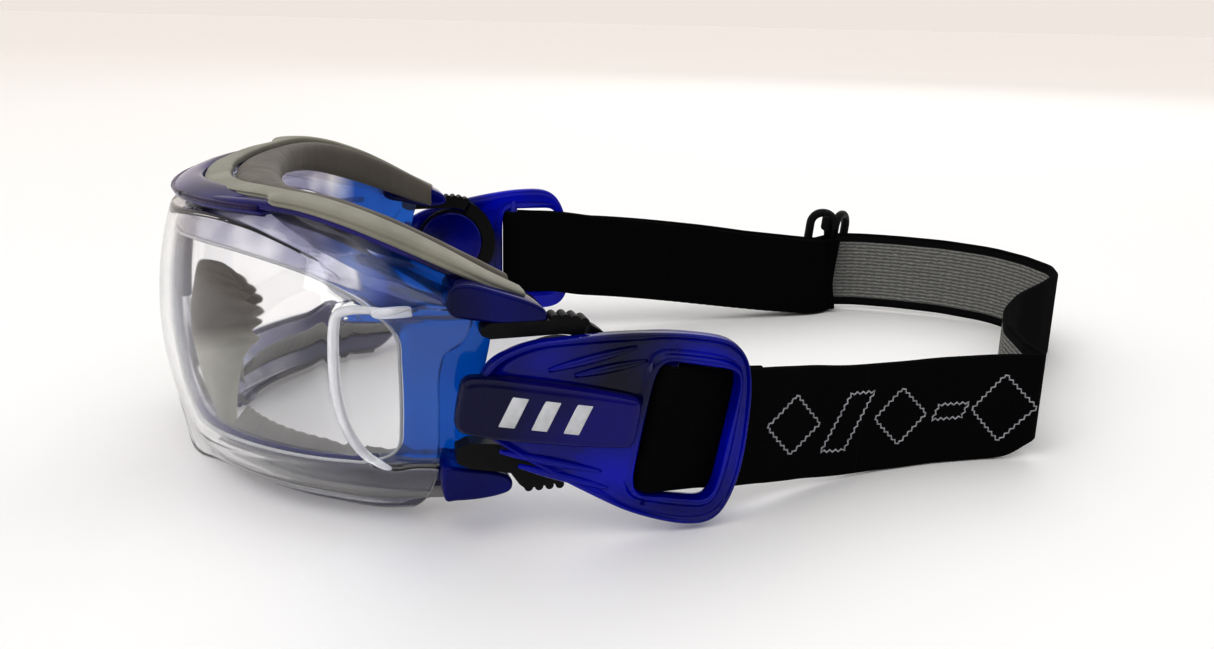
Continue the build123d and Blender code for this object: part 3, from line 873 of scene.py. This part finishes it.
# Half widths and half depths of the trim and the pad in plan, by the angle round the head.
trim_outer_a = through([(0, 57.5), (20, 58.4), (36, 60), (45.6, 61.6), (48.4, 66), (52, 67), (95, 67)])
trim_outer_b = through([(0, 53.4), (20, 54.6), (36, 56.4), (45.6, 57.2), (48.4, 59.8), (52, 60.4),
                        (95, 60.4)])
trim_inner_a = through([(0, 55.4), (36, 57.2), (55, 61), (95, 61.6)])
trim_inner_b = through([(0, 47.8), (36, 50.6), (55, 54), (95, 54.6)])
pad_inner_b = through([(0, 37.5), (20, 39), (36, 42.5), (55, 46.4), (95, 46.8)])
CREST_RISE = 1.3
PAD_OUTER = (58.4, 55.4)
PAD_INNER_A = 54.6


def wrapped_bar(name, limits, low, high, end, power, material, shape=None, sides=36):
    """A bar that wraps round the head between two ovals and two heights, tapered at its ends."""
    rings = []
    steps = 150
    for i in range(steps + 1):
        along = -1 + 2 * i / steps
        degrees = end * (sin(along * pi / 2 * 0.999) if abs(along) > 0.94 else along)
        turn = abs(degrees)
        taper = sqrt(max(0.0004, 1 - max(0.0, (abs(along) - 0.955) / 0.045) ** 2))
        outer, inner = limits(turn)
        middle_y = oval(degrees, [(a + b) / 2 for a, b in zip(outer, inner)], 0).y
        z_low, z_high = low(middle_y), high(middle_y)
        ring = []
        for angle in turns(sides):
            across, up = squircle(angle, power)
            if shape:
                across, up = shape(across, up, turn)
            halves = [(a + b) / 2 + (a - b) / 2 * across * taper for a, b in zip(outer, inner)]
            z = (z_low + z_high) / 2 + (z_high - z_low) / 2 * up * taper
            ring.append(oval(degrees, halves, z))
        rings.append(ring)
    return loft(name, rings, material)


def trim_limits(turn):
    """The trim's outer and inner ovals at an angle: it steps back behind the crest in front."""
    return ((trim_outer_a(turn), trim_outer_b(turn)), (trim_inner_a(turn), trim_inner_b(turn)))


def pad_limits(turn):
    """The pad's outer and inner ovals at an angle: it lies just inside the trim."""
    front = min(PAD_OUTER[1], trim_inner_b(turn) - 0.7)
    return (min(PAD_OUTER[0], trim_inner_a(turn) - 0.7), front), (PAD_INNER_A, pad_inner_b(turn))


def make_brow_trim(material, rail_material):
    def grooved(across, up, turn):
        share = (across + 1) / 2
        slope = mix(0.75, 0.35, smoothstep(44, 50, turn))
        up -= slope * share * max(0.0, (up + 1) / 2)
        if across > 0.2:
            across -= 0.12 * exp(-(((up + 0.2) / 0.12) ** 2))
        return across, up

    fit(wrapped_bar("brow_trim_band", trim_limits, trim_low, trim_high, 94.0, 3.6, material,
                    grooved, sides=64), "goggles", "trim_grey", "brow_trim")
    fit(wrapped_bar("brow_rail", lambda turn: ((64.4, 58.8), (60.4, 54.8)),
                    lambda y: trim_low(y) - 1.5, lambda y: trim_low(y) + 0.6, 92.0, 3.0,
                    rail_material), "goggles", "frame_blue")


def make_brow_pad(material):
    def crowned(across, up, turn):
        ripple = 0.02 * sin(turn * 1.6) * max(0.0, -across)
        return across * (1.0 - 0.06 * up * up) - ripple, up

    pad = wrapped_bar("brow_cushion", pad_limits, pad_low, pad_high, 93.0, 2.8, material,
                      crowned, sides=48)
    fit(pad, "goggles", "pad_grey", "brow_pad")


def make_crest(material, slot_shade_material):
    """The clear violet ledge ahead of the trim over the bridge, and the slotted rib at its lip, whose
    near black colour is painted shade of the vent slot.
    """
    def ledge_point(along, across, up):
        taper = sqrt(max(0.001, 1 - abs(along) ** 6))
        low = 57.5 + CREST_RISE * abs(along) ** 1.3
        inward = (1 - across) / 2
        radius = 60.3 - 6.6 * inward
        high = mix(low + 0.6, low + 1.7 + 2.4 * sin(inward * pi / 2), taper)
        return round_head(46.5 * along, radius, mix(low, high, (up + 1) / 2))

    fit(swept("brow_crest", [k / 50 - 1 for k in range(101)], 40, 4.0, ledge_point, material),
        "goggles", "frame_blue", "vent_cover")
    # The two ribs are near black: painted shade of the vent slot at the ledge's lip.
    for label, radius, z in (("upper", 60.1, 58.9), ("lower", 58.6, 57.6)):
        line = [round_head(d, radius, z + CREST_RISE * (abs(d) / 46) ** 1.3) for d in range(-46, 47, 2)]
        fit(tube(f"crest_{label}_rib", line, 0.55, slot_shade_material, sides=10),
            "goggles", "frame_blue")


def make_nose_saddle(material):
    """The soft nose pad: an arch with flared wings and fine ribs along its rear edge."""
    arch = smooth_line([(-18.6, 0, 7), (-15.6, 0, 15), (-12.6, 0, 23), (-9.2, 0, 32),
                        (-5, 0, 38.2), (0, 0, 40), (5, 0, 38.2), (9.2, 0, 32), (12.6, 0, 23),
                        (15.6, 0, 15), (18.6, 0, 7)], 14)
    front = through([(5, 5.4), (20, 1.9), (31, 1.1), (41, 3.2)])
    rear = through([(5, 10), (14, 10.4), (22, 12.2), (25, 14.6), (31, 15.4), (36, 12.8), (41, 8.5)])
    last = len(arch) - 1

    def saddle_point(i, across, up):
        centre = arch[i]
        ahead = arch[min(i + 1, last)] - arch[max(i - 1, 0)]
        out = Vector((-ahead.z, 0, ahead.x)).normalized()
        wave = sin(i * 1.12)
        y_front = front(centre.z) + abs(centre.x) ** 2 / 130
        y_rear = rear(centre.z) + 1.1 * wave * smoothstep(23, 26, centre.z)
        depth = (across + 1) / 2
        swell = 1.5 * sqrt(max(0.03, min(1.0, i / 8, (last - i) / 8)))
        swell += (0.45 * (0.5 + 0.5 * wave) * smoothstep(22, 26, centre.z)
                  * smoothstep(0.35, 0.8, depth))
        flare = 3.4 * depth ** 2
        return Vector((centre.x, mix(y_front, y_rear, depth), centre.z)) + out * (swell * up - flare)

    saddle = swept("nose_saddle", range(last + 1), 28, 2.6, saddle_point, material)
    fit(saddle, "goggles", "pad_grey", "nose_pad")


def make_cheek_skirt(side, word, material):
    """The soft lower seal on one side: a curved skirt that leans in towards the face."""
    steps = 90

    def skirt_point(i, across, up):
        along = i / steps
        thick = 1.5 * sqrt(max(0.03, min(1.0, along * 14, (1 - along) * 14)))
        inward = (1 - across) / 2
        radius = 57.0 - 7.0 * inward
        z = 5.4 + 6.6 * inward ** 1.3 + thick * up + 0.12 * sin(i * 1.3) * inward
        return round_head(side * mix(19, 84, along), radius, z)

    skirt = swept(f"{word}_cheek_skirt", range(steps + 1), 28, 2.6, skirt_point, material)
    fit(skirt, "goggles", "pad_grey", f"{word}_cheek_gasket")


# ------------------------ side clips

CLIP_OUTLINE = [
    (53.6, 27), (55, 33.6), (60.9, 37.9), (69, 40.3), (80, 42.8), (92, 44.3), (100.5, 43.6),
    (105, 38.6), (107.3, 28), (107.8, 17), (105.4, 8.9), (99, 6.5), (87, 8.1), (74, 12.6),
    (62.6, 17.6), (55.4, 21.6),
]
CLIP_WINDOW = (86.2, 103.4, 12.0, 38.5)
WINDOW_MIDDLE = Vector((0, sum(CLIP_WINDOW[:2]) / 2, sum(CLIP_WINDOW[2:]) / 2))
CLIP_INNER_X = 71.0
CLIP_PLATE_X = 73.4
BAR_POINT = Vector((72.2, 89.6, 25.2))
TONGUE_INNER_X = 73.5
TONGUE_OUTER_X = 77.0


def side_of(point, side):
    """A point drawn for the left side, turned as that side's clip lies, or mirrored."""
    return turned(point, LEFT_DROOP) if side > 0 else mirrored(point, side)


def window_point(angle):
    """A point on the strap window's rounded outline, by the direction from its middle."""
    low_y, high_y, low_z, high_z = CLIP_WINDOW
    c, s = cos(angle), sin(angle)
    power = 7.0
    reach = ((abs(c) / ((high_y - low_y) / 2)) ** power
             + (abs(s) / ((high_z - low_z) / 2)) ** power) ** (-1 / power)
    return WINDOW_MIDDLE + Vector((0, c, s)) * reach


def make_clip(side, word, material):
    """The translucent side plate, with a rolled edge and a raised lip round the strap window."""
    outline = side_outline(CLIP_OUTLINE, 12)
    # The rings run from the underside's window edge out round the rolled edge and back in, as
    # pairs of (share of the way inwards, height).
    profile = [(1.0, 0.5), (0.98, 0.1), (0.9, 0.0), (0.6, 0.0), (0.3, 0.0), (0.1, 0.0),
               (0.03, 0.1), (0.0, 0.55), (0.0, 1.05), (0.015, 1.5), (0.05, 1.85), (0.1, 1.95),
               (0.16, 1.7), (0.22, 1.45), (0.32, 1.35), (0.5, 1.35), (0.64, 1.4), (0.72, 1.7),
               (0.78, 2.05), (0.86, 2.2), (0.94, 2.1), (0.985, 1.8), (1.0, 1.3)]
    near = 9.0

    def rim_point(point, inward, height):
        away = point - WINDOW_MIDDLE
        edge = window_point(atan2(away.z, away.y))
        gap = (point - edge).length
        # Close to the window the shares are true distances, so that the rims keep their width.
        reach = inward * gap
        if gap > near:
            reach = min(inward * near, near / 2) if inward <= 0.5 else gap - (1 - inward) * near
        spot = point.lerp(edge, reach / gap)
        return side_of((CLIP_INNER_X + 1.78 * height, spot.y, spot.z), side)

    rings = [[rim_point(point, *pair) for point in outline] for pair in profile]
    fit(loft(f"{word}_clip_plate", rings + rings[:1], material, caps=False),
        f"{word}_side_clip", "clip_blue", f"{word}_clip")
    for index, (start, end) in enumerate((((66, 33.8), (81.6, 40.2)), ((71, 33.4), (84.2, 38.0)),
                                          ((60, 17.6), (80, 15.6)), ((64, 15.2), (82, 12.4)))):
        line = [side_of((CLIP_PLATE_X + 0.15, mix(start[0], end[0], k / 12),
                         mix(start[1], end[1], k / 12)), side) for k in range(13)]
        fit(tube(f"{word}_clip_ridge_{index + 1}", line,
                 lambda share: 0.2 + 0.7 * sin(pi * (0.1 + 0.85 * share)), material),
            f"{word}_side_clip", "clip_blue")


def make_clip_bar(side, word, material):
    """The round bar that the webbing folds over, and the hub boss behind the plate."""
    line = [side_of((BAR_POINT.x, BAR_POINT.y, z), side) for z in (9.5, 20, 30, 41.0)]
    fit(tube(f"{word}_strap_bar", line, 1.3, material, sides=20),
        f"{word}_side_clip", "clip_blue")
    profile = ((4.8, 67.7), (4.8, 69.45), (8.6, 69.45), (9.2, 69.8), (9.2, 70.9), (4, 71.05))
    rings = [[side_of((x, HUB.y + radius * cos(a), HUB.z + radius * sin(a)), side)
              for a in turns(64)] for radius, x in profile]
    fit(loft(f"{word}_hub_boss", rings, material), f"{word}_side_clip", "clip_blue")


TONGUE_LINE = [(50.6, 23.6), (50.5, 29.2), (51.2, 30.9), (53.4, 31.6), (60, 31.9), (72, 31.8),
               (81.8, 31.2), (83.9, 30.4), (84.4, 28.4), (84.5, 24.2), (84.1, 22.2), (82.2, 21.3),
               (72, 20.6), (60, 20.4), (53.4, 20.8), (51.3, 21.6)]


def make_tongue(side, word, material, mark):
    """The dark cover over the hub, with three plain slanted bars printed on it."""
    outline = side_outline(TONGUE_LINE, 10)
    middle = Vector((0, 67.3, 26.2))
    # Each ring's distance inwards and share of the height.
    profile = [(0.0, 0.0), (0.0, 0.55), (0.35, 0.86), (0.9, 1.0), (2.2, 1.06), (3.6, 1.0),
               (4.6, 1.0)]
    top_x = TONGUE_OUTER_X - 0.4

    def cover_point(point, inset, height):
        pull = middle - point
        pull.y *= 0.35
        spot = point + pull.normalized() * min(inset, pull.length)
        rise = 0.35 * (1 - ((spot.y - 67) / 17) ** 2) * min(1.0, inset)
        return side_of((mix(TONGUE_INNER_X, top_x, height) + rise, spot.y, spot.z), side)

    rings = [[cover_point(point, *pair) for point in outline] for pair in profile]
    fit(loft(f"{word}_tongue_cover", rings, material),
        f"{word}_side_clip", "tongue_blue", f"{word}_tongue")
    low_z, high_z, slant, half = 23.4, 29.2, 1.6, 1.5
    for index, y in enumerate((59.5, 65.5, 71.5)):
        corners = [(y - half, low_z), (y + half, low_z), (y + half + slant, high_z),
                   (y - half + slant, high_z)]
        rings = [[side_of((x, *corner), side) for corner in corners]
                 for x in (top_x, TONGUE_OUTER_X + 0.12)]
        bar = loft(f"{word}_mark_{index + 1}", rings, mark)
        modifier(bar, "BEVEL", width=0.0002, segments=2)
        fit(bar, f"{word}_side_clip", "tongue_blue")


def dress_node(name, material, bevel=0.0):
    """Gives a CAD node its finish, with softened edges."""
    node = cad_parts[name]
    node.data.materials.clear()
    node.data.materials.append(material)
    shade_smooth(node)
    if bevel:
        modifier(node, "BEVEL", width=bevel / 1000, segments=3, limit_method="ANGLE",
                 angle_limit=radians(30), harden_normals=True)


# ------------------------ webbing

STRAP_ROUTE = [
    (66.6, 111.8), (60.4, 126), (56.6, 144), (55.4, 160), (56, 174), (58, 185.4), (49, 186.8),
    (33.5, 193), (21, 201.5), (8, 215), (-3.5, 232), (-12, 243), (-22, 248.6), (-34, 248.8),
    (-46, 245.2), (-58, 234.5), (-67, 221.5), (-73.4, 210), (-74.6, 204),
]
STRAP_BENDS = [30, 60, 60, 60, 1.8, 1.8, 25, 40, 60, 60, 16, 12, 16, 20, 30, 30, 30]
CREASE_POINT = Vector((57.6, 186.4, 12.6))
CREASE_REACH = 5.5
CREASE_PULL = 4.5
TOOTH_HEIGHT = 0.10
TOOTH_PITCH = 1.5
SPLIT_Y = 140.0
LOOP_TURN = 2.4
FAR_START = Vector((0, 107.4, 24.2))
FAR_SLOPE = radians(6)
FAR_AHEAD = Vector((0, cos(FAR_SLOPE), -sin(FAR_SLOPE)))
FAR_UP = Vector((0, sin(FAR_SLOPE), cos(FAR_SLOPE)))
FAR_SPLIT = 32.6
FAR_SAG = 2.2
BAND_END = 97.2
SLIDER_ALONG = 91.6
SLIDER_BAR_X = 71.4
SLIDER_OUTER_X = 76.5
SLIDER_PITCH = 6.6
SLIDER_HIGH = 19.0
SLIDER_LOW = -12.9
SLIDER_WIRE = 1.4
SLIDER_CORNER = 2.2
BAR_TURN = 1.8


def strap_section(thick):
    """The rounded flat section of the webbing as (across, out) points."""
    half = STRAP_WIDTH / 2 - thick / 2
    flats = 14
    section = []
    for way in (1, -1):
        section += [(way * mix(-half, half, k / flats), way * thick / 2) for k in range(flats + 1)]
        section += [(way * (half + thick / 2 * cos(a)), way * thick / 2 * sin(a))
                    for a in (pi / 2 - pi * k / 6 for k in range(1, 6))]
    return section


def ribbon(name, stations, materials, start=0.0, thick=STRAP_THICK):
    """Webbing along stations of (middle point, up direction). The outer face looks right of it.

    Its UV map holds millimetres along and across. Material 0 is the outer face, 1 the inner.
    """
    section = strap_section(thick)
    size = len(section)
    points, uvs = [], []
    along = start
    last = len(stations) - 1
    edge = STRAP_WIDTH / 2
    for i, (middle, up) in enumerate(stations):
        ahead = (stations[min(i + 1, last)][0] - stations[max(i - 1, 0)][0]).normalized()
        out = ahead.cross(up).normalized()
        across_way = out.cross(ahead).normalized()
        if i:
            along += (middle - stations[i - 1][0]).length
        tooth = TOOTH_HEIGHT * sin(along * 2 * pi / TOOTH_PITCH)
        crease = CREASE_PULL * exp(-(((middle - CREASE_POINT).length / CREASE_REACH) ** 2))
        for across, depth in section:
            stretch = across + copysign(tooth, across) * smoothstep(edge - 1.2, edge, abs(across))
            stretch += crease * (0.5 - stretch / STRAP_WIDTH) ** 2
            points.append(middle + across_way * stretch + out * depth)
            uvs.append((along, across))
    inner = [depth <= -thick / 2 + 0.01 for _, depth in section]
    kinds = [int(inner[k] and inner[(k + 1) % size]) for k in range(size)] * last + [0, 0]
    faces = skin_faces(size, last + 1, size) + cap_faces(size, last + 1)
    return fix_normals(mesh_object(name, points, faces, *materials, kinds=kinds, uvs=uvs))


near_middle_z = through([(107, 17.9), (112, 17.2), (122, 15.3), (134, 13.5), (146, 12.7),
                         (160, 12.6), (186, 12.6)])
strap_plan = rounded_route([(x, y, 0) for x, y in STRAP_ROUTE], STRAP_BENDS, STATION_STEP)
near_route = [Vector((p.x, p.y, near_middle_z(p.y))) for p in strap_plan if p.y < SPLIT_Y + 60]
UPRIGHT = Vector((0, 0, 1))


def fold_line():
    """The fold round the strap bar as the clip is drawn: the sewn inner layer, then the outer."""
    line = [Vector((65.2, 111.6, 25.2)), Vector((66.7, 107.6, 25.2)), Vector((67.5, 102.6, 25.2)),
            Vector((68.7, 95.5, 25.2))]
    for k in range(9):
        angle = pi * (1 + k / 8)
        line.append(BAR_POINT + Vector((cos(angle), sin(angle), 0)) * LOOP_TURN)
    return line + [Vector((72.3, 95.5, 25.2)), Vector((69.8, 102.0, 25.2))]


def even_stations(line, ups, step=STATION_STEP):
    """Even stations along a line of points that each carry an up direction."""
    return [(line[k].lerp(line[k + 1], share), ups[k].lerp(ups[k + 1], share).normalized())
            for k, share in even_places(line, step)]


def left_end_stations():
    """The sewn end on the left clip, as it hangs, out to the near split."""
    fold = [turned(p, LEFT_DROOP) for p in fold_line()]
    split = next(i for i, p in enumerate(near_route) if p.y >= SPLIT_Y)
    run = near_route[3:split + 1]
    line = smooth_line(fold + [turned((69.0, 106.2, 25.2), LEFT_DROOP)] + run[::6], 4)
    line = [p for p in line if p.y < run[-1].y - 0.4 or p.x > 66] + [run[-1]]
    hang = turned(HUB + UPRIGHT, LEFT_DROOP) - HUB
    ups = [hang.lerp(UPRIGHT, smoothstep(104, 130, p.y)).normalized() for p in line]
    return even_stations(line, ups)


def far_point(x, along, lift=0.0):
    """A point on the strap's far side by its distance along the slope from the right clip."""
    return Vector((x, FAR_START.y, FAR_START.z)) + FAR_AHEAD * along + FAR_UP * lift


def far_strap_point(x, along):
    """A point on the webbing's far side, which hangs a little lower just ahead of the slider."""
    sag = FAR_SAG * smoothstep(10, 82, along) * (1 - smoothstep(87, 97, along))
    return far_point(x, along, -sag)


far_outer_x = through([(-5, -69.5), (1, -69.5), (6, -70.0), (18, -71.8), (FAR_SPLIT, -73.7),
                       (43, -74.6), (60, -74.6), (110, -74.6)])
far_inner_x = through([(-5, -67.3), (5, -67.35), (FAR_SPLIT, -67.8), (50, -67.9), (80, -67.9),
                       (86, -68.3), (90.4, -69.3)])


def band_stations():
    """The main run from the near split round the back to the far split."""
    low_z, end_z = near_middle_z(190), far_point(0, BAND_END).z
    line, ups = [], []
    for point in strap_plan:
        z = mix(low_z, end_z, smoothstep(-20, -74, point.x))
        if point.x > 50:
            z = near_middle_z(point.y)
        if point.x <= 50 or point.y >= SPLIT_Y:
            line.append(Vector((point.x, point.y, z)))
            ups.append(UPRIGHT)
    for k in range(1, 90):
        along = mix(BAND_END, FAR_SPLIT, k / 89)
        line.append(far_strap_point(far_outer_x(along), along))
        ups.append(UPRIGHT.lerp(FAR_UP, smoothstep(0, 25, k)).normalized())
    return list(zip(line, ups))


def right_end_stations():
    """From the far split forwards, round the right clip's bar, and back to the split inside."""
    outer = [far_strap_point(far_outer_x(t), t) for t in (FAR_SPLIT, 26, 20, 14, 8, 4)]
    inner = [far_strap_point(far_inner_x(t), t) for t in (4, 8, 14, 20, 26, FAR_SPLIT)]
    fold = [mirrored(p, -1) for p in fold_line()[2:]][::-1]
    line = smooth_line(outer + fold + inner, 6)
    ups = [FAR_UP.lerp(UPRIGHT, 1 - smoothstep(96, 118, p.y)).normalized() for p in line]
    return even_stations(line, ups)


def return_stations():
    """The inner layer from the far split back to the slider, round its middle bar and sewn."""
    line = [far_strap_point(far_inner_x(t), t) for t in (FAR_SPLIT, 40, 48, 56, 64, 72, 80, 85, 89)]
    for k in range(7):
        angle = radians(-20 + 200 * k / 6)
        line.append(far_strap_point(-SLIDER_BAR_X + BAR_TURN * cos(angle),
                                    SLIDER_ALONG + BAR_TURN * sin(angle)))
    line += [far_strap_point(-72.2, 88), far_strap_point(-70.2, 82), far_strap_point(-69.5, 76)]
    return even_stations(smooth_line(line, 5), [FAR_UP] * (5 * (len(line) - 1) + 1), 0.6)


def slider_loop(side):
    """The line of one of the slider's two loops, from an outer bar to the middle bar."""
    outer = Vector((-SLIDER_OUTER_X, SLIDER_ALONG + side * SLIDER_PITCH))
    inner = Vector((-SLIDER_BAR_X, SLIDER_ALONG))
    length = (inner - outer).length
    route = [(0, 0), (0, SLIDER_HIGH), (length, SLIDER_HIGH), (length, SLIDER_LOW),
             (0, SLIDER_LOW), (0, 0.4)]
    corners = rounded_route([(a, b, 0) for a, b in route],
                            [length / 2 - 0.05] * 2 + [SLIDER_CORNER] * 2, 0.5)
    flats = ((outer.lerp(inner, spot.x / length), spot.y) for spot in corners)
    return [far_point(flat.x, flat.y, lift) for flat, lift in flats]


def make_slider(material):
    """Two wire loops that share a middle bar, and the wide head at that bar's top."""
    for side, word in ((-1, "front"), (1, "rear")):
        fit(tube(f"slider_{word}_loop", slider_loop(side), SLIDER_WIRE, material, sides=14, closed=True),
            "slider_buckle", "black_plastic", "slider")

    def head_point(row, across, out):
        lift, half = row
        return far_point(-72.6 + 0.9 * out - 0.25 * half * across,
                         SLIDER_ALONG - 1.3 + half * across, lift)

    rows = ((11.4, 1.5), (13.2, 2.0), (13.9, 3.3), (14.6, 3.6), (17.6, 3.6), (18.4, 3.0))
    fit(swept("slider_middle_head", rows, 28, 4.0, head_point, material),
        "slider_buckle", "black_plastic")


def make_webbing(faces):
    """The strap in four lengths that meet at the splits."""
    left_end = left_end_stations()
    length = sum((b[0] - a[0]).length for a, b in zip(left_end, left_end[1:]))
    left = ribbon("strap_left_end", left_end, faces, -length)
    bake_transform(left)
    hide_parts("left_strap_loop")
    band = ribbon("strap_band_webbing", band_stations(), faces)
    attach(band, "headband")
    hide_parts("strap_band")
    right = ribbon("strap_right_end", right_end_stations(), faces)
    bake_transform(right)
    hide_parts("right_strap_loop")
    back = ribbon("strap_return_webbing", return_stations(), faces, thick=RETURN_THICK)
    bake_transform(back)
    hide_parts("strap_return", "strap_tail_loop")


THREAD_RADIUS = 0.23
ZIGZAG = 0.28
# Plain outlines woven into the near side, as (depth from the lens, height from the middle).
MOTIFS = [
    [(113.4, 0), (121.0, 6.6), (128.6, 0), (121.0, -6.6)],
    [(129.4, -6.4), (135.6, -6.4), (142.6, 6.4), (136.4, 6.4)],
    [(143.4, 0), (150.2, 6.6), (157.0, 0), (150.2, -6.6)],
    [(158.8, -1.7), (166.2, -1.7), (167.6, 1.7), (160.2, 1.7)],
    [(168.6, 0), (176.2, 8.0), (184.2, 0), (176.2, -8.0)],
]


def make_motif(index, corners, material):
    """One outline of grey zigzag thread on the near side's outer face."""
    stations = left_end_stations()[30:] + [s for s in band_stations() if s[0].x > 50]
    line = []
    for a, b in zip(corners, corners[1:] + corners[:1]):
        run = Vector(b) - Vector(a)
        steps = max(3, round(run.length / STATION_STEP))
        side = Vector((-run.y, run.x)).normalized() * ZIGZAG
        for k in range(steps):
            spot = Vector(a) + run * (k / steps) + (side if k % 2 else -side)
            at = next(i for i, s in enumerate(stations) if s[0].y >= spot.x and s[0].x > 0)
            middle, up = stations[at]
            ahead = (stations[min(at + 2, len(stations) - 1)][0] - stations[at - 2][0]).normalized()
            out = ahead.cross(up).normalized()
            middle = middle + ahead * (spot.x - middle.y)
            line.append(middle + up * spot.y + out * (STRAP_THICK / 2 + 0.05))
    thread = tube(f"woven_outline_{index + 1}", line, THREAD_RADIUS, material, sides=6, closed=True)
    if corners[0][0] < SPLIT_Y:
        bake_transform(thread)
    else:
        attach(thread, "headband")


# ------------------------ build

make_camera()
make_lights()
make_floor()

lens_clear = plain_material("clear_polycarbonate", (0.99, 0.99, 0.995), 0.03,
                            (60.0, 0.00003, 0.12), rough=(90.0, 0.015, 0.05),
                            clear=(1.0, 1.5, (0.96, 0.96, 0.97)))
frame_blue = frame_material()
tab_blue = clear_blue_material("tab_navy_plastic", (0.0, 0.003, 0.16), 0.12)
# Its very deep patches are partly painted dark reflections and shade.
clip_blue = clear_blue_material("clip_blue_plastic", (0.0, 0.006, 0.46), 0.5, dark=0.07,
                                patches=30.0)
tongue_blue = clear_blue_material("tongue_violet_plastic", (0.006, 0.004, 0.17), 0.3, 0.14)
rim_violet = clear_blue_material("rim_violet_plastic", (0.03, 0.02, 0.25), 0.4)
rim_navy = soft_touch_material("rim_navy_plastic", (0.006, 0.006, 0.10))
# Milky pale: painted highlight on the lens's clear bead and tab.
milky_highlight_edge = plain_material("milky_edge_painted_highlight", (0.90, 0.91, 0.94), 0.12, (400.0, 0.00003, 0.3),
                            patches=(300.0, 0.08), clear=(0.55, 1.5, (0.9, 0.9, 0.93)))
crest_blue = clear_blue_material("crest_violet_plastic", (0.045, 0.04, 0.24), 0.25, 0.1)
# Near black: painted shade of the vent slot.
crest_slot_shade = clear_blue_material("crest_slot_painted_shade", (0.03, 0.012, 0.10), 0.2, 0.2)
trim_grey = soft_touch_material("soft_grey_trim", (0.255, 0.25, 0.205))
# The pad's dark brown-grey is the trim's soft grey darkened as painted shade of its inner face.
pad_grey = soft_touch_material("soft_pad_grey_painted_shade", (0.125, 0.112, 0.094), grain=1800.0)
saddle_grey = saddle_material()
skirt_grey = soft_touch_material("soft_grey_silicone", (0.24, 0.235, 0.225))
black = plain_material("satin_black_plastic", (0.005, 0.005, 0.0055), 0.42, (1800.0, 0.00004, 0.5),
                       specular=0.2, patches=(120.0, 0.3), rough=(300.0, 0.32, 0.55))
seal_grey = soft_touch_material("clear_grey_rubber", (0.45, 0.46, 0.48))
outer_web = webbing_material("black_webbing_face", (0.003, 0.003, 0.0034), (0.006, 0.006, 0.0065),
                             0.55, 0.5)
inner_web = webbing_material("grey_webbing_back", (0.12, 0.12, 0.113), (0.33, 0.33, 0.315), 1.15,
                             2.6, border=(0.008, 0.008, 0.009))
mark_grey = plain_material("light_grey_mark", (0.55, 0.56, 0.58), 0.45, (2500.0, 0.00003, 0.4),
                           patches=(500.0, 0.1))
thread_grey = plain_material("grey_thread", (0.33, 0.33, 0.35), 0.85, (3000.0, 0.00006, 0.6),
                             specular=0.2, patches=(900.0, 0.25))

make_lens(lens_clear)
make_brow_trim(trim_grey, rim_violet)
make_brow_pad(pad_grey)
make_crest(crest_blue, crest_slot_shade)
make_nose_saddle(saddle_grey)
for side, word in SIDES:
    make_side_beads(side, word, milky_highlight_edge)
    make_tabs(side, word, tab_blue)
    make_cheek_skirt(side, word, skirt_grey)
    make_clip(side, word, clip_blue)
    make_clip_bar(side, word, clip_blue)
    make_tongue(side, word, tongue_blue, mark_grey)
    dress_node(f"{word}_yoke", black, 0.4)
    dress_node(f"{word}_upper_latch", black, 0.4)
    dress_node(f"{word}_lower_latch", black, 0.4)
    dress_node(f"{word}_hub_disc", clip_blue)
    dress_node(f"{word}_pivot_pin", clip_blue, 0.3)
make_frame(frame_blue)
make_bridge_rib(rim_navy)
make_lens_seal(seal_grey)
make_slider(black)
make_webbing((outer_web, inner_web))
for index, corners in enumerate(MOTIFS):
    make_motif(index, corners, thread_grey)

bpy.context.scene.view_settings.view_transform = "Standard"
bpy.context.scene.view_settings.exposure = 0.06
bpy.context.scene.view_settings.gamma = 0.78
